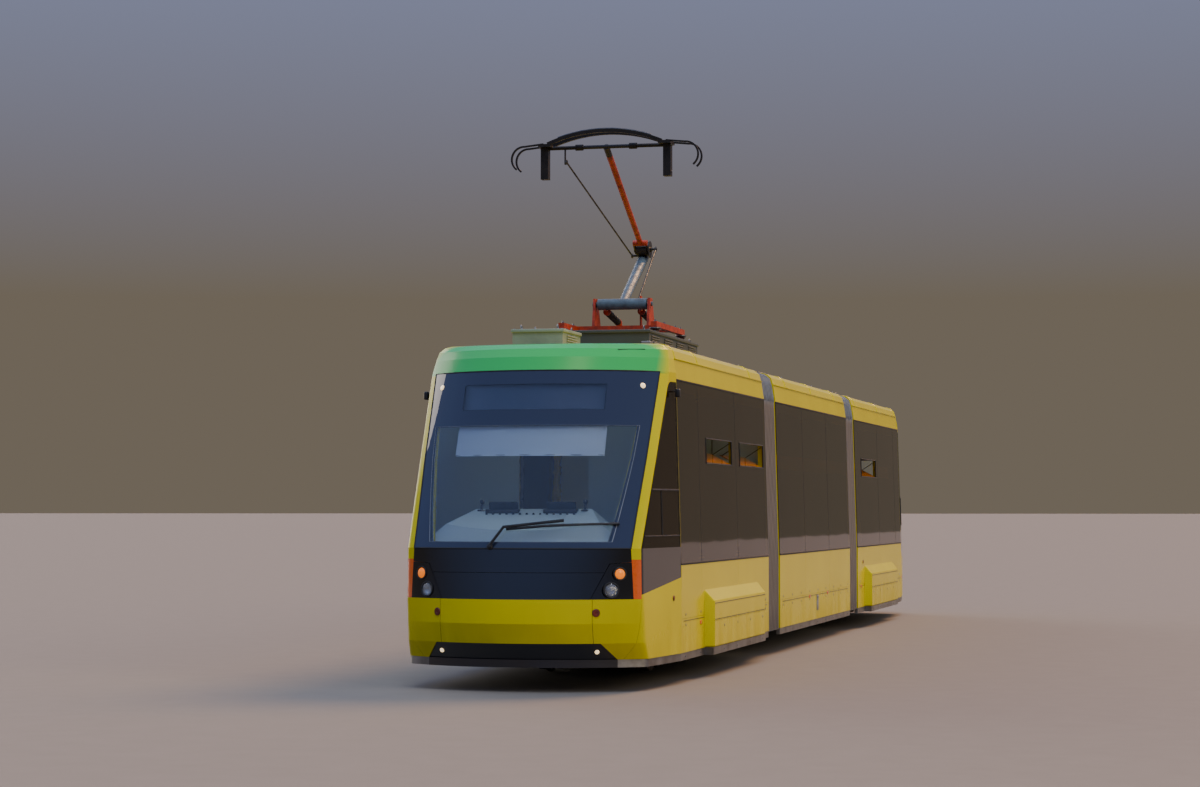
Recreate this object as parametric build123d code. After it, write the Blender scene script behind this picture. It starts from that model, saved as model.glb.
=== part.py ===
"""Three-section low-floor tram for metre-gauge track, one-way, doors on its right side.

+X points forward, +Y to the tram's left, +Z up. The origin is under the middle of the tram,
at the height of the wheel flanges' lowest point. All sizes are in millimetres.
"""
import os
from math import sin, cos, radians, sqrt

from build123d import *

# Running gear
tread_r = 300.0          # wheel tread radius
flange_h = 20.0          # flange depth below the rail's top
gauge = 1000.0
axle_z = tread_r + flange_h
axle_r = 65.0
journal_r = 50.0
fit = 0.05               # radial running clearance of every journal and pin
wheelbase = 1800.0
bogie_x = 5650.0         # bogie centre, fore and aft

# Body
half_l = 9750.0          # nose tip
half_w = 1250.0
wall = 60.0
skirt_z = 300.0          # lower edge of the coloured wall
sill_h = 73.0            # bare strip under the wall
sill_t = 45.0
waist_z = 1140.0         # lower edge of the glass band
band_top_z = 2910.0
cant_z = 3105.0
roof_z = 3250.0
band_in = 49.0           # how far the wall leans in at the top of the glass band
cant_in = 77.0
glass_t = 8.0
nose_len = 1550.0        # from the nose tip back to the saloon
end_x = 3500.0           # saloon end at the gangway
mid_x = 2750.0           # half length of the middle section
floor_z = 370.0          # low floor
high_floor_z = 560.0     # floor over the bogie
floor_t = 50.0
rise_half = 1350.0       # half length of the raised floor over a bogie
seam = 4.0               # gap between neighbouring panels
seam_depth = 6.0
seam_z = 620.0           # lengthwise joint of the skirt panels
seat_gap = 0.3           # clearance of a piece that rests on another

nose_x = half_l - nose_len
rise_x = (bogie_x - rise_half, bogie_x + rise_half)

# Gangway
pivot_x = 3125.0
pivot_pin_r = 50.0
disc_r = 520.0
bellows_in = 15.0        # how far the folds stay inside the body's outline
fold_depth = 35.0
bellows_wall = 90.0
bellows_low = 285.0
bellows_folds = 9
bellows_gap = seat_gap

# Windows: start and end along X
win_low = 1180.0
win_high = 2790.0
win_r = 90.0
right_windows = [(end_x + 160.0, bogie_x - 420.0), (bogie_x - 270.0, nose_x - 1050.0)]
left_windows = {
    "front": right_windows + [(nose_x - 900.0, nose_x - 80.0)],
    "rear": [(end_x + 460.0, bogie_x + 50.0), (bogie_x + 200.0, nose_x - 700.0), (nose_x - 550.0, nose_x - 80.0)],
}
pane_joints = {                      # joints between bonded panes and between skirt panels
    "front": [bogie_x - 345.0, nose_x - 975.0],
    "rear": [bogie_x + 125.0, nose_x - 625.0],
}
hoppers = {                          # openings in the panes that stand open
    "front": [(end_x + 180.0, bogie_x - 570.0), (bogie_x - 120.0, nose_x - 1330.0)],
    "rear": [(end_x + 580.0, bogie_x - 80.0)],
}
hopper_z = (2130.0, 2380.0)
hopper_tilt = 62.0                   # how far an open pane is let down inwards
hopper_clear = 5.0
mid_windows = [(-2620.0, -1020.0), (-860.0, 860.0), (1020.0, 2620.0)]
mid_joints = [-940.0, 940.0]
end_door = (nose_x - 990.0, nose_x - 90.0)
mid_doors = [(-2250.0, -850.0), (850.0, 2250.0)]
door_low = 340.0
door_high = 2780.0
door_gap = 8.0
door_t = 45.0

# Roof edge: how far in from half_w, and height
roof_edge = [(cant_in, cant_z), (102.0, 3190.0), (155.0, 3235.0), (210.0, roof_z)]

# Nose: height, tip behind half_l, corner behind half_l, half width inside half_w, corner radius
nose_table = [
    (skirt_z, 150.0, 570.0, 0.0, 110.0),
    (450.0, 50.0, 480.0, 0.0, 120.0),
    (630.0, 0.0, 450.0, 0.0, 130.0),
    (850.0, 15.0, 415.0, 0.0, 120.0),
    (1310.0, 110.0, 410.0, 5.0, 100.0),
    (2140.0, 405.0, 880.0, 28.0, 80.0),
    (2970.0, 750.0, 1350.0, 51.0, 60.0),
    (cant_z, 860.0, 1420.0, cant_in, 45.0),
    (3190.0, 980.0, 1460.0, 102.0, 30.0),
    (3235.0, 1110.0, 1485.0, 155.0, 25.0),
    (roof_z, 1250.0, 1500.0, 210.0, 20.0),
]
nose_taper = 0.109                  # how fast the nose's sides close in
nose_wall = 45.0
screen_t = 14.0
frame_w = 50.0                      # seat of the windscreen and the cab's side panes
bumper_low = 450.0
bumper_top = 850.0
reflector_top = 1210.0
mask_top = 1310.0
cab_pane_top = 2880.0
screen_top = 2970.0
screen_foot = (half_l - 363.0, mask_top)      # x and z of the windscreen's edge, from the side
screen_head = (half_l - 1260.0, screen_top)
pillar_foot = (half_l - 425.0, mask_top)      # and of the pillar's back edge
pillar_head = (half_l - 1370.0, screen_top)
pane_corner_r = 130.0                # upper front corner of the cab's side pane
slant_rear_z = 1020.0               # black side panel's lower edge at nose_x and at the pillar
slant_front_z = 890.0
valance_half = (900.0, 780.0)       # half width of the black valance, bottom and top
bumper_joint = 720.0
pod_line = [(703.0, bumper_top), (860.0, 1170.0), (1300.0, 1203.0)]   # y, z of the lamp panel's edge
mask_joint = (810.0, 1090.0)        # half length and height of the joint across the mask

# Wheel covers
cover_out = 95.0
cover_half = 1450.0
cover_t = 25.0
cover_end = 45.0                    # slope of the cover's ends
cover_low = skirt_z
cover_mid = 760.0
cover_top = 870.0
cover_seam_z = 560.0

# Roof cases, and the pantograph's base frame on insulators
gear_half = 640.0
gear_h = 230.0
case_h = 180.0
flat_h = 110.0
base_z = 3570.0
base_x = (4650.0, 6050.0)

# Pantograph, in the plane y = 0
pan_foot = (5350.0, 3870.0)
knee_drop = 105.0                    # how far the lower arm's tube passes below the knee pin
pan_knee = (4400.0, 4550.0)
pan_head = (6100.0, 5470.0)
pan_rod_foot = (5159.2, 3939.8)
pan_rod_off = (-64.75, 8.59)        # thrust rod's upper eye, from the knee
pan_level_off = (-5.2, -66.3)       # levelling rod's lower pin, from the knee
pan_level_drop = 150.0              # and its upper eye, below the head's axle
pan_level_y = (-118.0, -430.0)
pan_pin_r = 12.0
eye_clear = 4.0                     # play in the open eye of the levelling rod
head_axle_r = 20.0
bow_half = 620.0
bow_z = (5520.0, 5645.0)            # contact bow at its ends and in the middle
bow_x = 90.0
horn_r = 9.0

# Coupling and jacking
tow_r = 20.0
tow_x = half_l - 270.0
tow_low = 240.0
jack_x = (end_x + 400.0, nose_x - 350.0)
jack_y = half_w - 180.0

nodes = {}


def put(name, *solids):
    """Keep solids under a node's name."""
    bag = nodes.setdefault(name, [])
    for s in solids:
        bag.extend(s.solids())


def block(x0, x1, y0, y1, z0, z1):
    return Pos((x0 + x1) / 2, (y0 + y1) / 2, (z0 + z1) / 2) * Box(x1 - x0, y1 - y0, z1 - z0)


def rod_x(x0, x1, y, z, r):
    return Pos((x0 + x1) / 2, y, z) * Rot(0, 90, 0) * Cylinder(r, x1 - x0)


def rod_y(x, y0, y1, z, r):
    return Pos(x, (y0 + y1) / 2, z) * Rot(90, 0, 0) * Cylinder(r, y1 - y0)


def rod_z(x, y, z0, z1, r):
    return Pos(x, y, (z0 + z1) / 2) * Cylinder(r, z1 - z0)


def other_side(s):
    return mirror(s, about=Plane.XZ)


def other_end(s):
    return mirror(s, about=Plane.YZ)


def along_x(points, x0, x1):
    """Polygon of (y, z) points drawn out from x0 to x1."""
    face = make_face(Polyline(*[(x0, y, z) for y, z in points], close=True))
    return extrude(face, amount=x1 - x0, dir=(1, 0, 0))


def across_y(points, y0, y1):
    """Polygon of (x, z) points drawn out from y0 to y1."""
    face = make_face(Polyline(*[(x, y0, z) for x, z in points], close=True))
    return extrude(face, amount=y1 - y0, dir=(0, 1, 0))


def body_outline(z_low, inset):
    """Cross-section of walls and roof from a height up, set in all round."""
    side = [(y_at(z, inset), z) for z in (z_low, waist_z, band_top_z)]
    side += [(half_w - edge_in - inset, z - inset) for edge_in, z in roof_edge]
    return side + [(-y, z) for y, z in reversed(side)]


def window_tool(x0, x1, z0, z1, r=win_r):
    """Rounded opening through the left wall."""
    plane = Plane(origin=((x0 + x1) / 2, half_w - 200, (z0 + z1) / 2), x_dir=(1, 0, 0), z_dir=(0, 1, 0))
    return extrude(plane * RectangleRounded(x1 - x0, z1 - z0, r), amount=400)


def y_at(z, inset=0.0):
    """Outer face of the wall at a height."""
    if z <= waist_z:
        y = half_w
    elif z <= band_top_z:
        y = half_w - band_in * (z - waist_z) / (band_top_z - waist_z)
    else:
        y = half_w - band_in - (cant_in - band_in) * (z - band_top_z) / (cant_z - band_top_z)
    return y - inset


def wall_points(z_low, z_high, out, inn):
    zs = [z_low] + [z for z in (waist_z, band_top_z) if z_low < z < z_high] + [z_high]
    return [(y_at(z, out), z) for z in zs] + [(y_at(z, inn), z) for z in reversed(zs)]


def side_wall(x0, x1, windows, joints):
    """Left wall with a recessed band for the bonded glass, its windows and its panel joints."""
    w = along_x(wall_points(skirt_z, cant_z, 0, wall), x0, x1)
    w -= along_x(wall_points(waist_z, band_top_z, -5, glass_t + 1), x0 - 1, x1 + 1)
    for a, b in windows:
        w -= window_tool(a, b, win_low, win_high)
    w -= block(x0 - 1, x1 + 1, half_w - seam_depth, half_w + 1, seam_z, seam_z + seam)
    for x in joints:
        w -= block(x - seam / 2, x + seam / 2, half_w - seam_depth, half_w + 1, skirt_z - 1, waist_z)
    return w


def glass_band(x0, x1, joints, openings=()):
    """Bonded panes on the left wall, parted at the joints, with openings for hopper panes."""
    g = along_x(wall_points(waist_z + 2, band_top_z - 2, 1, glass_t + 1), x0, x1)
    for x in joints:
        g -= block(x - seam / 2, x + seam / 2, half_w - 150, half_w + 10, waist_z, band_top_z)
    for a, b in openings:
        g -= block(a, b, half_w - 150, half_w + 10, *hopper_z)
    return g


def hopper_pane(x0, x1):
    """Pane of a hopper opening in the left wall, let down inwards about its lower edge."""
    low, high = hopper_z
    pane = block(x0 + hopper_clear, x1 - hopper_clear, -glass_t / 2, glass_t / 2, 0, high - low - hopper_clear)
    lift = glass_t / 2 * sin(radians(hopper_tilt)) + seat_gap
    return Pos(0, y_at(low, 1 + glass_t / 2), low + lift) * Rot(hopper_tilt, 0, 0) * pane


def door_tool(x0, x1, grow=0.0):
    return block(x0 - grow, x1 + grow, -half_w - 100, -half_w + 250, door_low - grow, door_high + grow)


def roof(x0, x1):
    outer = [(half_w - inset, z) for inset, z in roof_edge]
    inner = [(half_w - cant_in - wall, cant_z), (half_w - 162, 3150), (half_w - 210, 3185),
             (half_w - 250, roof_z - nose_wall)]
    loop = outer + [(-y, z) for y, z in reversed(outer)]
    loop += [(-y, z) for y, z in inner] + [(y, z) for y, z in reversed(inner)]
    return along_x(loop, x0, x1)


def end_ring(x0, x1):
    """Bulkhead round a gangway passage."""
    r = block(x0, x1, -half_w + wall, half_w - wall, floor_z, cant_z)
    r -= block(x0 - 1, x1 + 1, -620, 620, floor_z - 1, 2500)
    lean = wall + band_in + 40
    for s in (1, -1):
        r -= along_x([(s * (half_w - wall), waist_z), (s * (half_w - lean), cant_z + 5),
                      (s * (half_w + 9), cant_z + 5), (s * (half_w + 9), waist_z)], x0 - 1, x1 + 1)
    return r


def nose_section(row, t):
    """Plan of the nose at one height, set in by t."""
    z, tip_in, corner_in, width_in, r = row
    tip, cx, hw = half_l - tip_in - t, half_l - corner_in - 0.8 * t, half_w - width_in - t
    cy = hw - nose_taper * (cx - nose_x)
    edges = [Line((nose_x, -hw, z), (nose_x, hw, z)), Line((nose_x, hw, z), (cx, cy, z)),
             ThreePointArc((cx, cy, z), (tip, 0, z), (cx, -cy, z)), Line((cx, -cy, z), (nose_x, -hw, z))]
    face = make_face(edges)
    corners = [v for v in face.vertices() if abs(v.X - cx) < 1]
    return fillet(corners, max(r - t, 8.0))


def nose_solid(t):
    return loft([nose_section(r, t) for r in nose_table], ruled=True)


both_ends = (("front", lambda s: s), ("rear", other_end))

# Saloon walls
for end, flip in both_ends:
    left = side_wall(end_x, nose_x, left_windows[end], pane_joints[end])
    right = other_side(side_wall(end_x, nose_x, right_windows, pane_joints["front"][:1]))
    right -= door_tool(*end_door, grow=door_gap)
    put(end + "_sides", flip(left), flip(right))
    put(end + "_roof", flip(roof(end_x, nose_x)))

mid_left = side_wall(-mid_x, mid_x, mid_windows, mid_joints)
mid_right = other_side(side_wall(-mid_x, mid_x, [(-700.0, 700.0)], []))
for d in mid_doors:
    mid_right -= door_tool(*d, grow=door_gap)
put("mid_sides", mid_left, mid_right)
put("mid_roof", roof(-mid_x, mid_x))
put("mid_bulkheads", end_ring(mid_x - 50, mid_x), end_ring(-mid_x, -mid_x + 50))

# Doors: leaves with a window opening, flush with the wall
glass_low = 560.0
glass_high = door_high - 110.0
stile = 90.0


def door_leaf(x0, x1):
    leaf = block(x0, x1, -half_w, -half_w + 120, door_low, door_high)
    leaf &= other_side(along_x(wall_points(door_low, door_high, 2, 2 + door_t), x0, x1))
    leaf -= block(x0 + stile, x1 - stile, -half_w - 10, -half_w + 200, glass_low, glass_high)
    return leaf


def door_glass(x0, x1):
    return other_side(along_x(wall_points(glass_low, glass_high, 6, 6 + glass_t), x0 + stile, x1 - stile))


for end, flip in both_ends:
    put(end + "_door", flip(door_leaf(*end_door)))
for a, b in mid_doors:
    m = (a + b) / 2
    put("mid_doors", door_leaf(a, m - 3), door_leaf(m + 3, b))

# Nose mouldings, cut out of one shell by zones seen from the side
outer = nose_solid(0.0)
pane = nose_solid(screen_t)
inner = nose_solid(nose_wall)
cabin = inner & block(nose_x, half_l, -half_w, half_w, skirt_z, roof_z - nose_wall)
shell = outer - cabin
far = half_l + 50
wide = half_w + 50


def zone(*points):
    return across_y(points, -wide, wide)


def rake(foot, head, z, back=0.0):
    """x of a raked edge at a height."""
    return foot[0] + (head[0] - foot[0]) * (z - foot[1]) / (head[1] - foot[1]) - back


def screen_zone(grow):
    z0, z1 = mask_top - grow, screen_top + grow
    return zone((rake(screen_foot, screen_head, z0, grow), z0), (far, z0), (far, z1),
                (rake(screen_foot, screen_head, z1, grow), z1))


def cab_pane_zone(grow):
    z0, z1, x0 = mask_top - grow, cab_pane_top + grow, nose_x + seam - grow
    x1 = rake(pillar_foot, pillar_head, z1, -grow)
    form = zone((x0, z0), (rake(pillar_foot, pillar_head, z0, -grow), z0), (x1, z1), (x0, z1))
    corner = [e for e in form.edges() if abs(e.center().X - x1) < 1 and abs(e.center().Z - z1) < 1]
    return fillet(corner, pane_corner_r + grow)


xs, xf = pillar_foot[0], screen_foot[0]
screen = (outer - pane) & screen_zone(0)
cab_glass = (outer - pane) & cab_pane_zone(0)
upper = shell & zone((xs, reflector_top), (xf, reflector_top), (xf, mask_top), (far, mask_top), (far, roof_z + 1),
                     (nose_x, roof_z + 1), (nose_x, mask_top), (xs, mask_top))
upper = upper - screen - cab_glass - screen_zone(-frame_w) - cab_pane_zone(-frame_w)
reflectors = shell & zone((xs, bumper_top), (xf, bumper_top), (xf, reflector_top), (xs, reflector_top))
side_black = shell & zone((nose_x, slant_rear_z), (xs, slant_front_z), (xs, mask_top), (nose_x, mask_top))
mask = shell & zone((xf, bumper_top), (far, bumper_top), (far, mask_top), (xf, mask_top))
lower = shell & zone((nose_x, skirt_z), (far, skirt_z), (far, bumper_top), (xs, bumper_top),
                     (xs, slant_front_z), (nose_x, slant_rear_z))

trapezoid = [(-valance_half[0], skirt_z), (valance_half[0], skirt_z), (valance_half[1], bumper_low),
             (-valance_half[1], bumper_low)]
valance_zone = along_x(trapezoid, nose_x + 800, far)
valance = (pane - cabin) & valance_zone
lower -= valance_zone
for s in (1, -1):
    lower -= block(nose_x + 800, far, s * bumper_joint - seam / 2, s * bumper_joint + seam / 2, skirt_z, bumper_top)
lower -= block(xs - seam, xs, -wide, wide, skirt_z, bumper_top)

pod_zone = along_x(pod_line + [(pod_line[-1][0], bumper_top)], xf, far)
pod_gap = along_x([(pod_line[0][0] - seam, bumper_top)] + [(y - seam, z + seam) for y, z in pod_line[1:]]
                  + [(pod_line[-1][0], bumper_top)], xf, far)
pods = [mask & pod_zone, mask & other_side(pod_zone)]
mask = mask - pod_gap - other_side(pod_gap)
joint_y, joint_z = mask_joint
mask -= block(xf, far, -joint_y, joint_y, joint_z, joint_z + seam)

lamp_spots = [(870.0, 932.0, 60.0), (940.0, 1080.0, 48.0)]     # y, z, radius
lamp_rim = 14.0
flange = Pos(-0.4 * nose_wall, 0, 0) * pane
lamps = []
for y, z, r in lamp_spots:
    for i, s in enumerate((1, -1)):
        pods[i] -= rod_x(xf, far, s * y, z, r + lamp_rim)
        lens = rod_x(xf, far, s * y, z, r) & (pane - cabin)
        lens += rod_x(xf, far, s * y, z, r + lamp_rim - seat_gap) & (flange - cabin)
        lamps.append(lens)

for end, flip in both_ends:
    put(end + "_bumper", *[flip(b) for b in lower.solids()])
    put(end + "_mask", flip(mask), *[flip(p) for p in pods], flip(valance), *[flip(b) for b in side_black.solids()])
    put(end + "_reflectors", *[flip(b) for b in reflectors.solids()])
    put(end + "_cab_shell", flip(upper))
    put(end + "_lamps", *[flip(b) for b in lamps])
    put(end + "_windscreen", flip(screen))

# Glass: bands on both walls, the nose's side panes and the doors
for end, flip in both_ends:
    lg = glass_band(end_x, nose_x, pane_joints[end], hoppers[end])
    rg = other_side(glass_band(end_x, nose_x, pane_joints["front"][:1])) - door_tool(*end_door, grow=door_gap)
    put(end + "_glazing", flip(lg), flip(rg), flip(cab_glass), flip(door_glass(*end_door)))
    put(end + "_glazing", *[flip(hopper_pane(*h)) for h in hoppers[end]])
rg = other_side(glass_band(-mid_x, mid_x, []))
for d in mid_doors:
    rg -= door_tool(*d, grow=door_gap)
put("mid_glazing", glass_band(-mid_x, mid_x, mid_joints), rg)
for a, b in mid_doors:
    m = (a + b) / 2
    put("mid_glazing", door_glass(a, m - 3), door_glass(m + 3, b))

# Floors with sills, and the pivot arms under the gangways
in_y = half_w - wall
sill_in = half_w - 5 - sill_t


def sill(x0, x1, out=0.0):
    """Bare strip under a wall, on both sides."""
    s = block(x0, x1, sill_in, half_w - 5 + out, skirt_z - sill_h, skirt_z)
    return [s, other_side(s)]


def threshold(x0, x1):
    """Step under a door, which its leaves stand on."""
    return block(x0, x1, -half_w + 2, -in_y, door_low - door_gap, door_low - seat_gap)


def slab(x0, x1, z):
    return block(x0, x1, -in_y, in_y, z - floor_t, z)


well_x = wheelbase / 2
wheel_y = 530.0
box_len = tread_r + flange_h + 80
box_half_w = 210.0
box_t = 35.0
box_top = 740.0
arm_w = 150.0
riser_t = 50.0
high = slab(rise_x[0], rise_x[1], high_floor_z)
for x in (rise_x[0], rise_x[1] - riser_t):
    high += block(x, x + riser_t, -in_y, in_y, floor_z - floor_t, high_floor_z)
for sx in (1, -1):
    for sy in (1, -1):
        x, y = bogie_x + sx * well_x, sy * wheel_y
        high += block(x - box_len, x + box_len, y - box_half_w, y + box_half_w, high_floor_z - floor_t, box_top)
        high -= block(x - box_len + box_t, x + box_len - box_t, y - box_half_w + box_t, y + box_half_w - box_t,
                      high_floor_z - floor_t - 1, box_top - box_t)
centre_pin_r = 60.0
high += rod_z(bogie_x, 0, skirt_z, high_floor_z - floor_t, centre_pin_r)

low = slab(end_x, rise_x[0], floor_z) - rod_z(pivot_x, 0, 300, 400, disc_r + 10)
end_arm = block(pivot_x - 120, end_x + 300, -arm_w, arm_w, 255, floor_z - floor_t)
low += end_arm - rod_z(pivot_x, 0, 200, 400, pivot_pin_r + fit)
entry = slab(rise_x[1], nose_x, floor_z) + threshold(*end_door)
entry += cabin & block(nose_x, nose_x + 800, -half_w, half_w, floor_z - floor_t, floor_z)
cab_step = 41.0
cab_end = half_l - 450
entry += cabin & block(nose_x + cab_step, cab_end, -half_w, half_w, high_floor_z - floor_t, high_floor_z)
entry += block(nose_x + cab_step, nose_x + 2 * cab_step, -1100, 1100, floor_z - floor_t, high_floor_z)
tow = block(tow_x - 250, tow_x + 40, -70, 70, tow_low, tow_low + 60)
tow += block(tow_x - 250, tow_x - 200, -70, 70, tow_low, high_floor_z - floor_t)
entry += tow - rod_z(tow_x, 0, 200, 400, tow_r)
for x in (jack_x,):
    for y in (jack_y, -jack_y):
        low += block(x[0] - 60, x[0] + 60, y - 60, y + 60, skirt_z - sill_h, floor_z - floor_t)
        entry += block(x[1] - 60, x[1] + 60, y - 60, y + 60, skirt_z - sill_h, floor_z - floor_t)
foot = nose_section(nose_table[0], 5.0)
foot_in = nose_section(nose_table[0], 50.0)
nose_sill = extrude(foot, amount=-sill_h) - extrude(foot_in, amount=-sill_h)
nose_sill &= block(nose_x, far, -half_w, half_w, skirt_z - sill_h, skirt_z)
lip_zone = block(nose_x + 800, far, -valance_half[0], valance_half[0], 0, skirt_z)
cover_x = (bogie_x - cover_half, bogie_x + cover_half)
end_sills = sill(end_x, cover_x[0]) + sill(*cover_x, out=cover_out) + sill(cover_x[1], nose_x)
for end, flip in both_ends:
    put(end + "_floor", flip(high))
    put(end + "_low_floor", flip(low), flip(entry))
    put(end + "_low_floor", *[flip(s) for s in end_sills + list((nose_sill - lip_zone).solids())])
    put(end + "_mask", flip(nose_sill & lip_zone))
    put(end + "_bulkheads", flip(end_ring(end_x, end_x + 50)))

mid_floor = slab(-mid_x, mid_x, floor_z)
for d in mid_doors:
    mid_floor += threshold(*d)
for s in (1, -1):
    x = s * pivot_x
    x_in = s * (mid_x - 300)
    mid_floor += block(min(x_in, x + s * 120), max(x_in, x + s * 120), -arm_w, arm_w, 325, 345)
    mid_floor += rod_z(x, 0, 345, floor_z, disc_r)
    mid_floor += rod_z(x, 0, 240, 345, pivot_pin_r)
put("mid_floor", mid_floor, *sill(-mid_x, mid_x))

# Gangway bellows: ribbed rings
def bellows():
    x0, x1 = mid_x + bellows_gap, end_x - bellows_gap
    pitch = (x1 - x0) / bellows_folds
    body = along_x(body_outline(bellows_low, bellows_in + fold_depth), x0, x1)
    for i in range(bellows_folds):
        a = x0 + i * pitch
        body += along_x(body_outline(bellows_low, bellows_in), a + 0.2 * pitch, a + 0.8 * pitch)
    return body - along_x(body_outline(bellows_low - 1, bellows_in + bellows_wall), x0 - 1, x1 + 1)


put("front_gangway", bellows())
put("rear_gangway", other_end(bellows()))

# Seats
def seat(x, y, z, face=1):
    """Seat with its back on the side away from where it faces."""
    parts = block(x - 210, x + 210, y - 210, y + 210, z + 380, z + 440)
    parts += block(x - face * 210 - 25, x - face * 210 + 25, y - 210, y + 210, z + 380, z + 950)
    parts += block(x - 40, x + 40, y - 150, y + 150, z, z + 380)
    return parts


seat_y = half_w - 330
end_seats = []
for sx in (1, -1):
    for y in (-seat_y, seat_y):
        end_seats.append(seat(bogie_x + sx * well_x, y, high_floor_z, sx))
for y in (-seat_y, seat_y):
    end_seats.append(seat(bogie_x - 200, y, high_floor_z, 1))
for end, flip in both_ends:
    put(end + "_seats", *[flip(s) for s in end_seats])
put("mid_seats", *[seat(-1900.0 + 800.0 * i, seat_y, floor_z, 1) for i in range(6)])

# Cab fittings: desk under the windscreen, partition, driver's seat, sign box and sun blind
desk_back = half_l - 800
desk = across_y([(desk_back + 100, high_floor_z), (cab_end, high_floor_z), (half_l, 1250), (half_l, 1390),
                 (desk_back, 1670), (desk_back, 1500), (desk_back + 100, 1450)], -half_w, half_w)
desk &= along_x([(-1000, 500), (1000, 500), (1000, 1380), (900, 1400), (560, 1670), (-560, 1670), (-900, 1400),
                 (-1000, 1380)], desk_back - 10, half_l)
desk &= Pos(-25, 0, 0) * cabin
partition = cabin & block(nose_x, nose_x + 40, -half_w, half_w, floor_z, 3150)
partition -= block(nose_x - 10, nose_x + 50, -350, 350, floor_z - 1, 2300)
driver_seat = seat(nose_x + 450, 0, high_floor_z, 1)


def behind_screen(half, z0, z1, depth):
    """Sheet just behind the windscreen, between two heights."""
    sheet = cabin - Pos(-depth, 0, 0) * cabin
    return sheet & block(nose_x + 200, half_l, -half, half, z0, z1)


put("front_cab", desk, partition, driver_seat)
sign_low = 2440.0
put("front_sign", behind_screen(1000, sign_low, screen_top - 10, 60))
put("front_blind", behind_screen(715, 2160, sign_low, 12))

# Wheel covers, hollow behind, with sloping ends


def cover_form(t):
    x0, x1, y = cover_x[0] + t, cover_x[1] - t, half_w + cover_out - t
    form = along_x([(half_w, cover_low + t), (y, cover_low + t), (y, cover_mid - t / 2),
                    (half_w, cover_top - 1.3 * t)], x0, x1)
    plan = make_face(Polyline((x0, half_w, 0), (x0 + cover_end, y, 0), (x1 - cover_end, y, 0), (x1, half_w, 0),
                              close=True))
    return form & extrude(plan, amount=1000)


cover = cover_form(0.0)
rounded = [e for e in cover.edges() if e.center().Y > half_w + 5 and e.length > 60]
cover = fillet(rounded, 18.0)
cover -= cover_form(cover_t)
cover -= block(*cover_x, half_w + cover_out - seam_depth, half_w + cover_out + 1, cover_seam_z, cover_seam_z + seam)
for end, flip in both_ends:
    put(end + "_wheel_covers", flip(cover), flip(other_side(cover)))

# Bogies
frame_y = 680.0
beam_t = 120.0
motor_r = 165.0
motor_half = 350.0
motor_x = 400.0


def wheelset(x):
    """Axle with two flanged wheels, turned round the axle's line."""
    half = [(0, 760), (journal_r, 760), (journal_r, 595), (110, 595), (110, 555), (240, 545), (240, 575),
            (tread_r - 4, 575), (tread_r, 495), (tread_r + flange_h, 478), (tread_r + flange_h, 465),
            (tread_r - 10, 455), (240, 455), (240, 500), (axle_r, 490)]
    pts = half + [(r, -y) for r, y in reversed(half)]
    face = make_face(Polyline(*[(x + r, y, axle_z) for r, y in pts], close=True))
    return revolve(face, axis=Axis((x, 0, axle_z), (0, 1, 0)))


def bogie_frame():
    """Two side beams with axle boxes, a transom with the centre bore, and a motor on each side of it."""
    x0 = bogie_x
    end, jaw, arch, mid = well_x + 160, well_x - 160, well_x - 450, well_x - 570
    f = Part()
    for s in (1, -1):
        half = [(end, 480), (end, 250), (jaw, 250), (jaw, 400), (arch, 400), (mid, 300)]
        loop = [(x0 + x, z) for x, z in half] + [(x0 - x, z) for x, z in reversed(half)]
        f += across_y(loop, s * frame_y - beam_t / 2, s * frame_y + beam_t / 2)
    f += block(x0 - 130, x0 + 130, -frame_y, frame_y, 300, 470)
    for s in (1, -1):
        f += rod_y(x0 + s * motor_x, -motor_half, motor_half, 330, motor_r)
        f += block(min(x0, x0 + s * motor_x), max(x0, x0 + s * motor_x), -200, 200, 340, 440)
        f -= rod_y(x0 + s * well_x, -900, 900, axle_z, journal_r + fit)
    f -= rod_z(x0, 0, 100, 600, centre_pin_r + fit)
    return f


for end, flip in both_ends:
    put(end + "_bogie", flip(bogie_frame()))
    springs = [rod_z(bogie_x, s * frame_y, 480, high_floor_z - floor_t - seat_gap, 70) for s in (1, -1)]
    put(end + "_bogie", *[flip(s) for s in springs])
    put(end + "_wheelset_a", flip(wheelset(bogie_x + well_x)))
    put(end + "_wheelset_b", flip(wheelset(bogie_x - well_x)))

# Roof equipment: a low case ahead of the pantograph, a wide one under it, flat ones behind
put("front_roof_gear", block(nose_x - 1000, nose_x - 300, -510, 0, roof_z, roof_z + case_h),
    block(base_x[0] - 150, base_x[1] + 850, -gear_half, gear_half, roof_z, roof_z + gear_h))
put("mid_roof_gear", block(-1600, 1600, -gear_half + 40, gear_half - 40, roof_z, roof_z + flat_h))
put("rear_roof_gear", block(-nose_x + 700, -nose_x + 2000, -gear_half + 40, gear_half - 40, roof_z, roof_z + flat_h),
    block(-nose_x + 2200, -end_x - 400, -gear_half + 40, gear_half - 40, roof_z, roof_z + flat_h))

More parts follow.
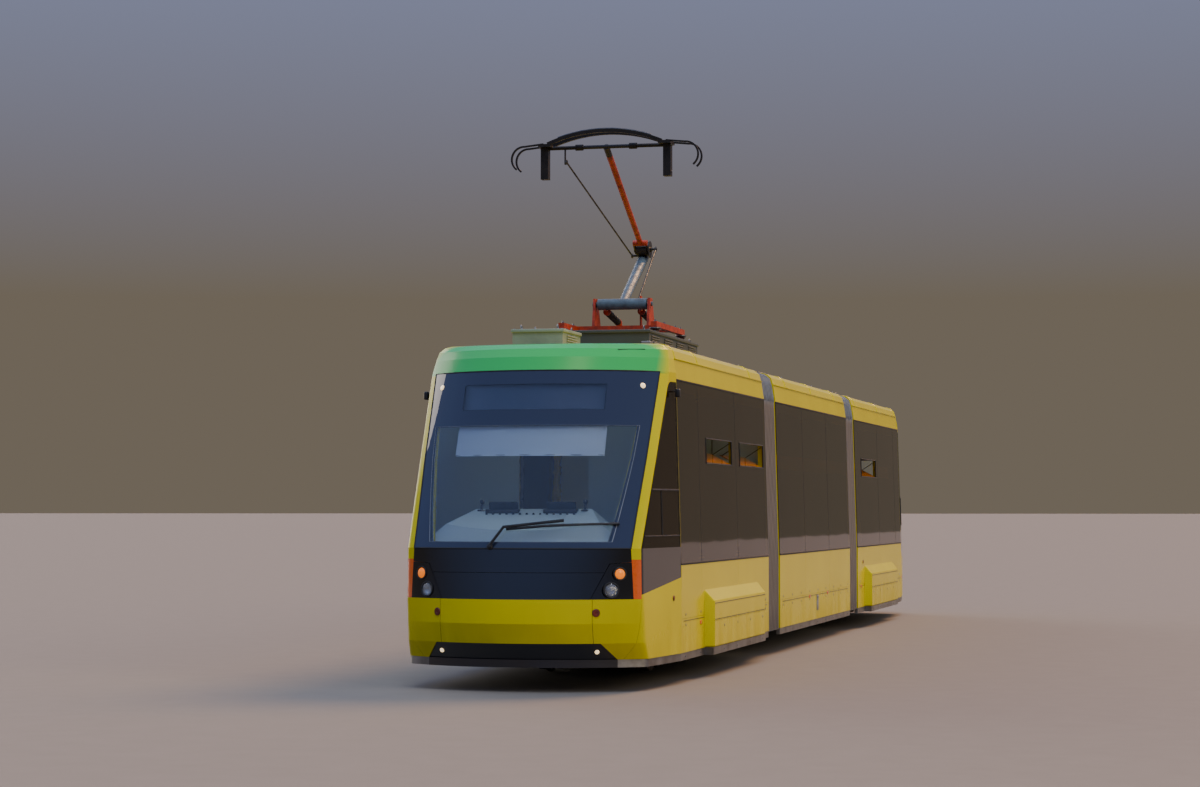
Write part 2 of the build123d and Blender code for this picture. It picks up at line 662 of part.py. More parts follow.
# Pantograph
base = block(base_x[0], base_x[1], 470, 530, base_z, base_z + 60)
base += other_side(base)
base += block(pan_foot[0] - 180, pan_foot[0] - 120, -530, 530, base_z, base_z + 60)
base += block(pan_foot[0] + 60, pan_foot[0] + 120, -530, 530, base_z, base_z + 60)
for s in (1, -1):
    base += across_y([(pan_foot[0] - 180, base_z + 60), (pan_foot[0] + 120, base_z + 60),
                      (pan_foot[0] + 60, pan_foot[1] + 60), (pan_foot[0] - 60, pan_foot[1] + 60)],
                     s * 300 - 12, s * 300 + 12)
base -= rod_y(pan_foot[0], -400, 400, pan_foot[1], pan_pin_r * 2 + fit)
thrust_y = 134.0
base += block(pan_rod_foot[0] - 30, pan_rod_foot[0] + 30, thrust_y + 16, thrust_y + 30, base_z,
              pan_rod_foot[1] + 30)
base -= rod_y(pan_rod_foot[0], thrust_y, thrust_y + 40, pan_rod_foot[1], pan_pin_r + fit)
put("panto_base", base)
shed_r, core_r = 70.0, 42.0


def insulator(x, y):
    """Post insulator with two sheds."""
    z0, z1 = roof_z + gear_h, base_z
    sheds = 2
    step = (z1 - z0) / sheds
    pts = [(0, z0), (core_r, z0)]
    for i in range(sheds):
        z = z0 + step * i
        pts += [(core_r, z + 0.3 * step), (shed_r, z + 0.45 * step), (core_r, z + 0.6 * step)]
    pts += [(core_r, z1), (0, z1)]
    face = make_face(Polyline(*[(x + r, y, z) for r, z in pts], close=True))
    return revolve(face, axis=Axis((x, y, 0), (0, 0, 1)))


put("panto_insulators", *[insulator(x, y) for x in (base_x[0] + 60, base_x[1] - 60) for y in (500, -500)])


def bar(p, q, r0, r1=None):
    """Round bar between two (x, y, z) points, tapered if it has a second radius."""
    n = sqrt(sum((b - a) ** 2 for a, b in zip(p, q)))
    axis = tuple((b - a) / n for a, b in zip(p, q))
    if r1 is None:
        return extrude(Plane(origin=p, z_dir=axis) * Circle(r0), amount=n)
    return loft([Plane(origin=p, z_dir=axis) * Circle(r0), Plane(origin=q, z_dir=axis) * Circle(r1)])


def at(p, y):
    return (p[0], y, p[1])


lower = rod_y(pan_foot[0], -330, 330, pan_foot[1], pan_pin_r * 2)
lower += rod_y(pan_foot[0], -270, 270, pan_foot[1], 60)
span = sqrt((pan_foot[0] - pan_knee[0]) ** 2 + (pan_foot[1] - pan_knee[1]) ** 2)
down = ((pan_foot[1] - pan_knee[1]) / span, (pan_knee[0] - pan_foot[0]) / span)
elbow = (pan_knee[0] + knee_drop * down[0], pan_knee[1] + knee_drop * down[1])
lower += bar(at(pan_foot, 0), at(elbow, 0), 50, 58)
lower += rod_y(elbow[0], -50, 50, elbow[1], 58)
lower += bar(at(elbow, 0), at(pan_knee, 0), 50)
lower += rod_y(pan_knee[0], -60, 60, pan_knee[1], 70)
level_foot = (pan_knee[0] + pan_level_off[0], pan_knee[1] + pan_level_off[1])
lower += rod_y(level_foot[0], pan_level_y[0] + 12, 0, level_foot[1], pan_pin_r)
lower -= rod_y(pan_knee[0], -100, 100, pan_knee[1], pan_pin_r * 2 + fit)
put("panto_lower_arm", lower)

tail = (pan_knee[0] + pan_rod_off[0], pan_knee[1] + pan_rod_off[1])
cheek = (66.0, 80.0)                 # inner and outer face of the knee's cheeks
guard_r, guard_t = 95.0, 10.0        # guard disc on the knee's left side
upper_arm = rod_y(pan_knee[0], -cheek[1], cheek[1], pan_knee[1], pan_pin_r * 2)
reach = sqrt((pan_head[0] - pan_knee[0]) ** 2 + (pan_head[1] - pan_knee[1]) ** 2)
along = ((pan_head[0] - pan_knee[0]) / reach, (pan_head[1] - pan_knee[1]) / reach)
neck = (pan_knee[0] + 130 * along[0], pan_knee[1] + 130 * along[1])
for s in (1, -1):
    y0, y1 = min(s * cheek[0], s * cheek[1]), max(s * cheek[0], s * cheek[1])
    upper_arm += rod_y(pan_knee[0], y0, y1, pan_knee[1], 50)
    side = across_y([(pan_knee[0] - 40 * along[1], pan_knee[1] + 40 * along[0]),
                     (pan_knee[0] + 40 * along[1], pan_knee[1] - 40 * along[0]),
                     (neck[0] + 30 * along[1], neck[1] - 30 * along[0]),
                     (neck[0] - 30 * along[1], neck[1] + 30 * along[0])], y0, y1)
    upper_arm += side
upper_arm += rod_y(neck[0], -cheek[1], cheek[1], neck[1], 32)
upper_arm += rod_y(pan_knee[0], cheek[1], cheek[1] + guard_t, pan_knee[1], guard_r)
upper_arm += bar(at(neck, 0), at(pan_head, 0), 30, 34)
upper_arm += rod_y(pan_head[0], -300, 300, pan_head[1], head_axle_r)
upper_arm += rod_y(tail[0], cheek[0], thrust_y + 16, tail[1], pan_pin_r)
upper_arm += across_y([(pan_knee[0], pan_knee[1] - 30), (pan_knee[0], pan_knee[1] + 30),
                       (tail[0] - 20, tail[1] + 14), (tail[0] - 20, tail[1] - 14)], *cheek)
put("panto_upper_arm", upper_arm)

thrust = bar(at(pan_rod_foot, thrust_y), at(tail, thrust_y), 11) - rod_y(tail[0], 100, 160, tail[1], 24)
thrust += rod_y(tail[0], thrust_y - 8, thrust_y + 8, tail[1], 28)
thrust += rod_y(pan_rod_foot[0], thrust_y - 8, thrust_y + 30, pan_rod_foot[1], pan_pin_r)
thrust -= rod_y(tail[0], 100, 160, tail[1], pan_pin_r + 1)
put("panto_thrust_rod", thrust)

level_head = (pan_head[0], pan_head[1] - pan_level_drop)
low_y, high_y = pan_level_y
level = bar(at(level_foot, low_y), at(level_head, high_y), 9)
level += rod_y(level_foot[0], low_y - 8, low_y + 8, level_foot[1], 26)
level += rod_y(level_head[0], high_y - 8, high_y + 8, level_head[1], 26)
level -= rod_y(level_foot[0], low_y - 20, low_y + 20, level_foot[1], pan_pin_r + fit)
level -= rod_y(level_head[0], high_y - 20, high_y + 20, level_head[1], pan_pin_r + eye_clear)
put("panto_level_rod", level)

# Collector head: axle tube, hanging spring boxes, two contact bows and the horns
hx, hz = pan_head
drop_box = (620.0, 700.0)


def arc_bar(x, points, out, inn, width):
    """Flat bar of the given width along an arc through three (y, z) points, between two offsets from it."""
    (y1, z1), (y2, z2), (y3, z3) = points
    d = 2 * (y1 * (z2 - z3) + y2 * (z3 - z1) + y3 * (z1 - z2))
    s1, s2, s3 = y1 * y1 + z1 * z1, y2 * y2 + z2 * z2, y3 * y3 + z3 * z3
    cy = (s1 * (z2 - z3) + s2 * (z3 - z1) + s3 * (z1 - z2)) / d
    cz = (s1 * (y3 - y2) + s2 * (y1 - y3) + s3 * (y2 - y1)) / d
    r = sqrt((y1 - cy) ** 2 + (z1 - cz) ** 2)
    rims = []
    for off in (out, -inn):
        k = (r + off) / r
        rims.append([(x - width / 2, cy + (y - cy) * k, cz + (z - cz) * k) for y, z in points])
    (a, m, b), (c, n, e) = rims
    face = make_face([ThreePointArc(a, m, b), Line(b, e), ThreePointArc(e, n, c), Line(c, a)])
    return extrude(face, amount=width, dir=(1, 0, 0))


head = Part()
for s in (1, -1):
    y0, y1 = min(s * 300.3, s * drop_box[0]), max(s * 300.3, s * drop_box[0])
    head += rod_y(hx, y0, y1, hz, head_axle_r)
    y0, y1 = min(s * 250, s * 330), max(s * 250, s * 330)
    head += rod_y(hx, y0, y1, hz, 32)
    head -= rod_y(hx, min(s * 200, s * 300.3), max(s * 200, s * 300.3), hz, head_axle_r + fit)
    y0, y1 = min(s * drop_box[0], s * drop_box[1]), max(s * drop_box[0], s * drop_box[1])
    head += block(hx - 45, hx + 45, y0, y1, hz - 330, hz + 20)
    y0, y1 = min(s * (bow_half - 40), s * (drop_box[1] + 10)), max(s * (bow_half - 40), s * (drop_box[1] + 10))
    head += block(hx - bow_x - 25, hx + bow_x + 25, y0, y1, hz + 5, bow_z[0] - 15)
    for x in (hx - bow_x, hx + bow_x):
        (y0, z0), (y1, z1) = (660, 5506), (872, 5484)
        slope = [(y0, z0 - horn_r), (y1, z1 - horn_r), (y1, z1 + horn_r), (y0, z0 + horn_r)]
        head += along_x([(s * y, z) for y, z in slope], x - horn_r, x + horn_r)
        head += arc_bar(x, [(s * 863, 5485), (s * 1000, 5380), (s * 950, 5245)], horn_r, horn_r, 2 * horn_r)
for x in (hx - bow_x, hx + bow_x):
    head += arc_bar(x, [(bow_half, bow_z[0]), (0, bow_z[1]), (-bow_half, bow_z[0])], 0, 35, 36)
eye_y = high_y - 8 - seat_gap
head += block(hx - 12, hx + 12, eye_y - 12, eye_y, hz - pan_level_drop - 26, hz)
head += rod_y(level_head[0], eye_y - 6, high_y + 12, level_head[1], pan_pin_r)
put("panto_head", head)

os.makedirs("parts", exist_ok=True)
for name, solids in nodes.items():
    export_step(Compound(children=solids), "parts/" + name + ".step")
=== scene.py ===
"""Looks of a three-section articulated tram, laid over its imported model.

Metres, +X forward, +Y to the tram's left, +Z up, with the floor at the wheel flanges' lowest point.
"""
import math

import bpy
from mathutils import Matrix, Vector


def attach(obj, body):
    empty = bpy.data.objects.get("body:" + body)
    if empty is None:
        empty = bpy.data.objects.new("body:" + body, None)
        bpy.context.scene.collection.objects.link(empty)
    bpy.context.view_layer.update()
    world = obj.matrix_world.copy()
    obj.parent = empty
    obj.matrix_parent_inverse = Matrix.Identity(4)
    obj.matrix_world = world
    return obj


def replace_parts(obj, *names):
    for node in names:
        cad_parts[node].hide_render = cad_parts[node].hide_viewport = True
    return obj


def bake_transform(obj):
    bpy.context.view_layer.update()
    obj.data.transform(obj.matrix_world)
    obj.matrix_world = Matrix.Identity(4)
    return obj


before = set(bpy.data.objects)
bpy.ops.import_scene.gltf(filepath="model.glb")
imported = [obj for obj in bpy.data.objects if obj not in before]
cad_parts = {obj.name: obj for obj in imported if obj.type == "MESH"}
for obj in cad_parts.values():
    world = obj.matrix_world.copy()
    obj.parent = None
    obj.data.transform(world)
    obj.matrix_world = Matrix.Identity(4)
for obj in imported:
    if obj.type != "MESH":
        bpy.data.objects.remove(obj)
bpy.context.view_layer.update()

# Camera: eye height beside the track, 23 m ahead of the nose and left of it,
# looking back along the tram and slightly up.
eye = Vector((32.538, 6.456, 1.6705))
yaw = math.radians(13.8603)
pitch = math.radians(2.5381)
focal_px = 2606.07
photo_w, photo_h = 1200, 787
film_mm, far_view = 36, 1500
level = Vector((-math.cos(yaw), -math.sin(yaw), 0))
across = Vector((-math.sin(yaw), math.cos(yaw), 0))
sight = level * math.cos(pitch) + Vector((0, 0, math.sin(pitch)))
upward = Vector((0, 0, math.cos(pitch))) - level * math.sin(pitch)
bpy.ops.object.camera_add()
camera = bpy.context.object
camera.data.sensor_width = film_mm
camera.data.lens = focal_px * film_mm / photo_w
camera.data.clip_end = far_view
camera.matrix_world = Matrix.Translation(eye) @ Matrix((across, upward, -sight)).transposed().to_4x4()
bpy.context.scene.camera = camera

# Studio: a pale floor that runs out of sight, a warm key on the tram's left, a cool light from
# overhead, a warm sun over its rear left and a fill on the right, in a surround that goes from
# warm grey at the horizon to blue overhead.
floor_size, clump_mm = 1800, 330
haze_low, haze_high = 0.08, 0.45
# Lights: where each comes from, width in degrees, strength, colour.
lights = {"key": ((0.34, 0.85, 0.36), 24, 1.1, "#FFE6B4"), "overhead": ((0.35, 0.1, 0.93), 18, 1.6, "#EEF4FF"),
          "rear_sun": ((-0.62, 0.33, 0.71), 24, 4.0, "#FFC482"),
          "right_fill": ((-0.6, -0.75, 0.3), 40, 1.3, "#FFF3E2")}


def srgb(code):
    """Linear colour of a six-digit sRGB code."""
    parts = [int(code[i:i + 2], 16) / 255 for i in (1, 3, 5)]
    return tuple(c / 12.92 if c <= 0.04045 else ((c + 0.055) / 1.055) ** 2.4 for c in parts) + (1.0,)


def cells(size_mm):
    """Scale of a noise or cell pattern whose grains are this big."""
    return 1000 / size_mm


def bands(pitch_mm):
    """Scale of a wave pattern whose lines stand this far apart; it turns 20 radians a unit."""
    return 1000 * math.tau / (20 * pitch_mm)


def add_node(tree, kind, inputs=(), **settings):
    """Adds a node with its settings; inputs maps a socket to a value or to another node's output."""
    made = tree.nodes.new("ShaderNode" + kind)
    for name, value in settings.items():
        setattr(made, name, value)
    for name, value in dict(inputs).items():
        if isinstance(value, bpy.types.NodeSocket):
            tree.links.new(value, made.inputs[name])
        else:
            made.inputs[name].default_value = value
    return made.outputs


def new_material(name, **sockets):
    """A material's node tree, its shader's inputs, the point shaded and itself, with constant sockets set."""
    made = bpy.data.materials.new(name)
    made.use_nodes = True
    tree = made.node_tree
    shader = tree.nodes["Principled BSDF"].inputs
    for socket, value in sockets.items():
        shader[socket.replace("_", " ").title().replace("Ior", "IOR")].default_value = value
    return tree, shader, add_node(tree, "TexCoord")["Object"], made


def two_tone(name, kind, pattern, colours, relief=None, glow=False, axis="", **sockets):
    """Material that runs between two tones with one pattern.

    relief is its bump's strength and depth, glow lets the tones shine too, axis is the way a wave's lines follow.
    """
    tree, shader, place, made = new_material(name, **sockets)
    turned_to = {"bands_direction": axis} if axis else {}
    grain = add_node(tree, kind, {"Vector": place, **pattern}, **turned_to)
    amount = grain["Distance" if kind == "TexVoronoi" else "Fac"]
    light, dark = colours
    tone = add_node(tree, "Mix", {"Factor": amount, "A": srgb(light), "B": srgb(dark)}, data_type="RGBA")["Result"]
    tree.links.new(tone, shader["Base Color"])
    if glow:
        tree.links.new(tone, shader["Emission Color"])
    if relief:
        bump = add_node(tree, "Bump", {"Height": amount, "Strength": relief[0], "Distance": relief[1]})
        tree.links.new(bump["Normal"], shader["Normal"])
    return made


bpy.ops.mesh.primitive_plane_add(size=floor_size, location=(0, 0, 0))
ground = bpy.context.object
ground.name = "studio_floor"
ground.data.materials.append(two_tone("matt_studio_floor", "TexNoise", {"Scale": cells(clump_mm), "Detail": 4.0},
                                      ("#6A665F", "#726E67"), roughness=0.9))
world = bpy.data.worlds.new("studio_surround")
bpy.context.scene.world = world
world.use_nodes = True
tree = world.node_tree
around = add_node(tree, "TexCoord")["Generated"]
height = add_node(tree, "SeparateXYZ", {"Vector": around})["Z"]
climb = add_node(tree, "MapRange", {"Value": height, "From Min": haze_low, "From Max": haze_high})["Result"]
sky = add_node(tree, "Mix", {"Factor": climb, "A": srgb("#6F6659"), "B": srgb("#93ABEA")}, data_type="RGBA")
tree.links.new(sky["Result"], tree.nodes["Background"].inputs["Color"])
tree.nodes["Background"].inputs["Strength"].default_value = 1.0
for name, (source, width, power, tint) in lights.items():
    bpy.ops.object.light_add(type="SUN", location=Vector(source) * 40)
    lamp = bpy.context.object
    lamp.name = name + "_light"
    lamp.data.angle = math.radians(width)
    lamp.data.energy = power
    lamp.data.color = srgb(tint)[:3]
    lamp.rotation_euler = (-Vector(source)).to_track_quat("-Z", "Y").to_euler()

# Body paint: polyester gloss enamel on aluminium and moulded panels, lime yellow all over, with
# the hood over the windscreen in green. To the eye: clean colour under a thin gloss, faint
# orange peel, slow fading, and road film that runs down and gathers low on the skirts.
# hood_highlight_y: how far out to the cab's left the green hood reaches; beyond it, the yellow left on the corner is a
# painted highlight.
hood_low, hood_highlight_y, hood_back = 2.955, 1.12, 8.33
fade_mm, streak, peel_mm = 770, (5.0, 5.0, 0.8), 18
film_from, film_to = 0.8, 0.28


def enamel(name, green=None):
    """Gloss enamel with orange peel, fading and road film; green names the hood's colour where there is a hood, which
    stops short of the cab's left corner so the yellow there is a painted highlight.
    """
    tree, shader, place, made = new_material(name, roughness=0.3, coat_weight=0.04, coat_roughness=0.05,
                                             coat_tint=srgb("#FFF0B8"), specular_ior_level=0.14,
                                             specular_tint=srgb("#FFE48C"))
    axes = add_node(tree, "SeparateXYZ", {"Vector": place})
    cloud = add_node(tree, "TexNoise", {"Vector": place, "Scale": cells(fade_mm), "Detail": 5.0})["Fac"]
    faded = add_node(tree, "MapRange", {"Value": cloud, "From Min": 0.4, "From Max": 0.7})["Result"]
    base = add_node(tree, "Mix", {"Factor": faded, "A": srgb("#C6BC00"), "B": srgb("#CCC206")},
                    data_type="RGBA")["Result"]
    if green:
        facing = add_node(tree, "Math", {0: axes["X"]}, operation="SIGN")[0]
        out = add_node(tree, "Math", {0: axes["Y"], 1: facing}, operation="MULTIPLY")[0]
        ahead = add_node(tree, "Math", {0: axes["X"]}, operation="ABSOLUTE")[0]
        # Painted highlight: towards each cab's own left corner, the green gives way to the yellow base.
        side = add_node(tree, "MapRange", {"Value": out, "From Min": hood_highlight_y + 0.06,
                                           "From Max": hood_highlight_y - 0.05})["Result"]
        front = add_node(tree, "MapRange", {"Value": ahead, "From Min": hood_back - 0.09,
                                            "From Max": hood_back + 0.05})["Result"]
        high = add_node(tree, "MapRange", {"Value": axes["Z"], "From Min": hood_low - 0.005,
                                           "From Max": hood_low})["Result"]
        across_hood = add_node(tree, "Math", {0: side, 1: front}, operation="MULTIPLY")[0]
        hood = add_node(tree, "Math", {0: across_hood, 1: high}, operation="MULTIPLY")[0]
        base = add_node(tree, "Mix", {"Factor": hood, "A": base, "B": srgb(green)}, data_type="RGBA")["Result"]
    running = add_node(tree, "Mapping", {"Vector": place, "Scale": streak})["Vector"]
    film = add_node(tree, "TexNoise", {"Vector": running, "Scale": 1.0, "Detail": 6.0})["Fac"]
    low = add_node(tree, "MapRange", {"Value": axes["Z"], "From Min": film_from, "From Max": film_to,
                                      "To Max": 0.38})["Result"]
    patch = add_node(tree, "MapRange", {"Value": film, "From Min": 0.3, "From Max": 0.8})["Result"]
    grime = add_node(tree, "Math", {0: low, 1: patch}, operation="MULTIPLY")[0]
    painted = add_node(tree, "Mix", {"Factor": grime, "A": base, "B": srgb("#6E5E22")}, data_type="RGBA")["Result"]
    rough = add_node(tree, "MapRange", {"Value": grime, "From Max": 0.4, "To Min": 0.2, "To Max": 0.5})["Result"]
    peel = add_node(tree, "TexNoise", {"Vector": place, "Scale": cells(peel_mm), "Detail": 2.0})["Fac"]
    bump = add_node(tree, "Bump", {"Height": peel, "Strength": 0.04, "Distance": 0.002})["Normal"]
    tree.links.new(painted, shader["Base Color"])
    tree.links.new(rough, shader["Roughness"])
    tree.links.new(bump, shader["Normal"])
    return made


def dress(material, *nodes):
    """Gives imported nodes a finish."""
    for node in nodes:
        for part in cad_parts[node].material_slots:
            part.material = material


lime_enamel = enamel("lime_yellow_enamel")
hood_enamel = enamel("lime_enamel_with_green_hood", "#2FAE58")
dress(lime_enamel, "mid_sides", "mid_roof", "mid_doors")
for end in ("front", "rear"):
    dress(lime_enamel, *[end + part for part in ("_sides", "_roof", "_door", "_bumper", "_wheel_covers")])
    dress(hood_enamel, end + "_cab_shell")

# Black nose moulding: gloss-black acrylic-faced panels clipped to the nose frame below the
# windscreen. To the eye: a deep blue-black that mirrors, hazed by dust towards the valance.
haze_mm, dust_from, dust_to = 455, 0.95, 0.25
tree, shader, place, black_gloss = new_material("gloss_black_moulding", roughness=0.12, coat_weight=0.5,
                                                coat_roughness=0.03)
axes = add_node(tree, "SeparateXYZ", {"Vector": place})
haze = add_node(tree, "TexNoise", {"Vector": place, "Scale": cells(haze_mm), "Detail": 6.0})["Fac"]
tone = add_node(tree, "Mix", {"Factor": haze, "A": srgb("#090B10"), "B": srgb("#11151E")}, data_type="RGBA")["Result"]
low = add_node(tree, "MapRange", {"Value": axes["Z"], "From Min": dust_from, "From Max": dust_to})["Result"]
dusty = add_node(tree, "Math", {0: low, 1: haze}, operation="MULTIPLY")[0]
rough = add_node(tree, "MapRange", {"Value": dusty, "From Max": 0.6, "To Min": 0.09, "To Max": 0.5})["Result"]
tree.links.new(tone, shader["Base Color"])
tree.links.new(rough, shader["Roughness"])
dress(black_gloss, "front_mask", "rear_mask")

# Corner reflectors: moulded orange acrylic below each pillar. To the eye: deep orange behind a
# clear face, broken up by 7 mm prisms.
prism_mm = 7
orange_acrylic = two_tone("orange_reflector_acrylic", "TexVoronoi", {"Scale": cells(prism_mm)},
                          ("#F26A12", "#D04C06"), (0.3, 0.002), roughness=0.16, coat_weight=1.0)
dress(orange_acrylic, "front_reflectors", "rear_reflectors")

# Side glass: smoked toughened panes bonded over the wall. To the eye: dark and nearly a mirror,
# with the slow waviness of tempering; the open hopper panes on the left are coloured amber as a painted reflection of
# warm light.
hopper_low, hopper_high, hopper_in, hopper_end = 2.128, 2.3, 1.2145, 7.0
hopper_depth, wave_mm = 0.12, 1110
tree, shader, place, smoked = new_material("smoked_side_glass", roughness=0.03, transmission_weight=0.55, ior=1.3,
                                           specular_tint=srgb("#CFB79F"))
axes = add_node(tree, "SeparateXYZ", {"Vector": place})
wave = add_node(tree, "TexNoise", {"Vector": place, "Scale": cells(wave_mm), "Detail": 1.0})["Fac"]
smoke = add_node(tree, "Mix", {"Factor": wave, "A": srgb("#2E2721"), "B": srgb("#3A3129")}, data_type="RGBA")["Result"]
# Painted reflection: a strip over the open hopper panes is coloured amber for the warm glint they mirror.
painted_glint = add_node(tree, "Math", {0: axes["Y"], 1: hopper_in - hopper_depth, 2: hopper_depth}, operation="COMPARE")[0]
along = add_node(tree, "Math", {0: axes["X"]}, operation="ABSOLUTE")[0]
for value, test, limit in ((axes["Z"], "GREATER_THAN", hopper_low), (axes["Z"], "LESS_THAN", hopper_high),
                           (along, "LESS_THAN", hopper_end)):
    inside = add_node(tree, "Math", {0: value, 1: limit}, operation=test)[0]
    painted_glint = add_node(tree, "Math", {0: painted_glint, 1: inside}, operation="MULTIPLY")[0]
tone = add_node(tree, "Mix", {"Factor": painted_glint, "A": smoke, "B": srgb("#E89A18")}, data_type="RGBA")["Result"]
bump = add_node(tree, "Bump", {"Height": wave, "Strength": 0.15, "Distance": 0.01})["Normal"]
tree.links.new(tone, shader["Base Color"])
tree.links.new(bump, shader["Normal"])
dress(smoked, "front_glazing", "mid_glazing", "rear_glazing")

# Windscreen: laminated glass bonded to the nose. To the eye: clear and faintly blue, with a
# printed black border that follows its raked sides and is deepest round the sign's window; the border is coloured dark
# blue-grey rather than black, as a painted reflection of the sky.
screen_foot, screen_head = (9.387, 1.31), (8.49, 2.97)
header_z, border_foot_z, border_in, soft_edge = 2.45, 1.372, 0.08, 0.003
sign_half_w, sign_low, sign_high = 0.69, 2.6, 2.84
rake = (screen_head[0] - screen_foot[0]) / (screen_head[1] - screen_foot[1])
tree, shader, place, laminated = new_material("laminated_windscreen", roughness=0.01, ior=1.5)
axes = add_node(tree, "SeparateXYZ", {"Vector": place})
ahead = add_node(tree, "Math", {0: axes["X"]}, operation="ABSOLUTE")[0]
edge = add_node(tree, "Math", {0: axes["Z"], 1: rake, 2: screen_foot[0] - rake * screen_foot[1]},
                operation="MULTIPLY_ADD")[0]
inset = add_node(tree, "Math", {0: ahead, 1: edge}, operation="SUBTRACT")[0]
sides = add_node(tree, "MapRange", {"Value": inset, "From Min": border_in + 0.005, "From Max": border_in})["Result"]
top = add_node(tree, "MapRange", {"Value": axes["Z"], "From Min": header_z - soft_edge,
                                  "From Max": header_z})["Result"]
foot = add_node(tree, "MapRange", {"Value": axes["Z"], "From Min": border_foot_z,
                                   "From Max": border_foot_z - soft_edge})["Result"]
sideways = add_node(tree, "Math", {0: axes["Y"]}, operation="ABSOLUTE")[0]
beside = add_node(tree, "Math", {0: sideways, 1: sign_half_w}, operation="GREATER_THAN")[0]
centred = add_node(tree, "Math", {0: axes["Z"], 1: (sign_low + sign_high) / 2}, operation="SUBTRACT")[0]
height_off = add_node(tree, "Math", {0: centred}, operation="ABSOLUTE")[0]
beyond = add_node(tree, "Math", {0: height_off, 1: (sign_high - sign_low) / 2}, operation="GREATER_THAN")[0]
around_sign = add_node(tree, "Math", {0: beside, 1: beyond}, operation="MAXIMUM")[0]
header = add_node(tree, "Math", {0: top, 1: around_sign}, operation="MULTIPLY")[0]
rim = add_node(tree, "Math", {0: sides, 1: header}, operation="MAXIMUM")[0]
frit = add_node(tree, "Math", {0: rim, 1: foot}, operation="MAXIMUM")[0]
# The border's dark blue-grey is black print lifted by a painted reflection of the sky.
tone = add_node(tree, "Mix", {"Factor": frit, "A": srgb("#E4EDF4"), "B": srgb("#283042")}, data_type="RGBA")["Result"]
clear = add_node(tree, "Math", {0: 1.0, 1: frit}, operation="SUBTRACT")[0]
tree.links.new(tone, shader["Base Color"])
tree.links.new(clear, shader["Transmission Weight"])
dress(laminated, "front_windscreen", "rear_windscreen")

# Interior panels: pressed laminate on the bulkheads, partition and desk. To the eye: pale
# blue-grey with a matt stipple, drawn at 11 mm, coarser than the real one so that it shows.
stipple_mm = 11
laminate = two_tone("pale_interior_laminate", "TexNoise", {"Scale": cells(stipple_mm), "Detail": 3.0},
                    ("#B9C6C6", "#C6D1D0"), (0.12, 0.001), roughness=0.5)
dress(laminate, "front_bulkheads", "mid_bulkheads", "rear_bulkheads", "front_cab")

# Sign box and sun blind behind the windscreen: an unlit dot-matrix face, dark blue with an 11 mm
# dot raster, and a pale blue-grey coated cloth, matt, its weave drawn at 2 mm so that it shows.
dot_mm, blind_thread_mm = 11, 2
display = two_tone("unlit_dot_matrix_face", "TexVoronoi", {"Scale": cells(dot_mm), "Randomness": 0.0},
                   ("#39415A", "#242A3C"), roughness=0.35)
blind_cloth = two_tone("blue_grey_blind_cloth", "TexWave", {"Scale": bands(blind_thread_mm)},
                       ("#BCC7D6", "#CBD4E0"), axis="Z", roughness=0.9)
dress(display, "front_sign")
dress(blind_cloth, "front_blind")

# Floors: calendered rubber covering inside, dark grey with 4 mm pale flecks, and bare rolled
# aluminium for sills, steps and the underframe, dull silver with long drawn lines and road dirt.
fleck_mm, drawn_lines, dirt_mm = 3.8, (0.6, 60.0, 60.0), 250
tree, shader, place, rubber_floor = new_material("speckled_rubber_floor", roughness=0.6)
speck = add_node(tree, "TexNoise", {"Vector": place, "Scale": cells(fleck_mm), "Detail": 1.0})["Fac"]
fleck = add_node(tree, "MapRange", {"Value": speck, "From Min": 0.6, "From Max": 0.66})["Result"]
tone = add_node(tree, "Mix", {"Factor": fleck, "A": srgb("#4B4F55"), "B": srgb("#9CA0A4")}, data_type="RGBA")["Result"]
tree.links.new(tone, shader["Base Color"])
dress(rubber_floor, "front_floor", "rear_floor")
tree, shader, place, mill_aluminium = new_material("mill_finish_aluminium", roughness=0.4, metallic=0.85)
drawn = add_node(tree, "Mapping", {"Vector": place, "Scale": drawn_lines})["Vector"]
lines = add_node(tree, "TexNoise", {"Vector": drawn, "Detail": 5.0, "Scale": 1.0})["Fac"]
dirt = add_node(tree, "TexNoise", {"Vector": place, "Scale": cells(dirt_mm), "Detail": 6.0})["Fac"]
soil = add_node(tree, "MapRange", {"Value": dirt, "From Min": 0.4, "From Max": 0.7, "To Max": 0.7})["Result"]
metal = add_node(tree, "Mix", {"Factor": lines, "A": srgb("#7E7E7C"), "B": srgb("#9C9B98")},
                 data_type="RGBA")["Result"]
tone = add_node(tree, "Mix", {"Factor": soil, "A": metal, "B": srgb("#4E463B")}, data_type="RGBA")["Result"]
rough = add_node(tree, "MapRange", {"Value": lines, "From Min": 0.3, "From Max": 0.7, "To Min": 0.34,
                                    "To Max": 0.55})["Result"]
tree.links.new(tone, shader["Base Color"])
tree.links.new(rough, shader["Roughness"])
dress(mill_aluminium, "front_low_floor", "rear_low_floor", "mid_floor")

# Roof cases: powder-coated steel with a 3 mm orange-peel grain, matt and streaked by soot; the
# low case by the cab is pale grey-green and the rest slate, a darker tone that is partly their coat and partly painted
# shade.
pale_case_from, stain_mm, powder_mm = 7.15, 385, 3.3
tree, shader, place, case_coat = new_material("roof_case_powder_coat", roughness=0.55)
axes = add_node(tree, "SeparateXYZ", {"Vector": place})
stain = add_node(tree, "TexNoise", {"Vector": place, "Scale": cells(stain_mm), "Detail": 7.0})["Fac"]
past = add_node(tree, "Math", {0: axes["X"], 1: pale_case_from}, operation="GREATER_THAN")[0]
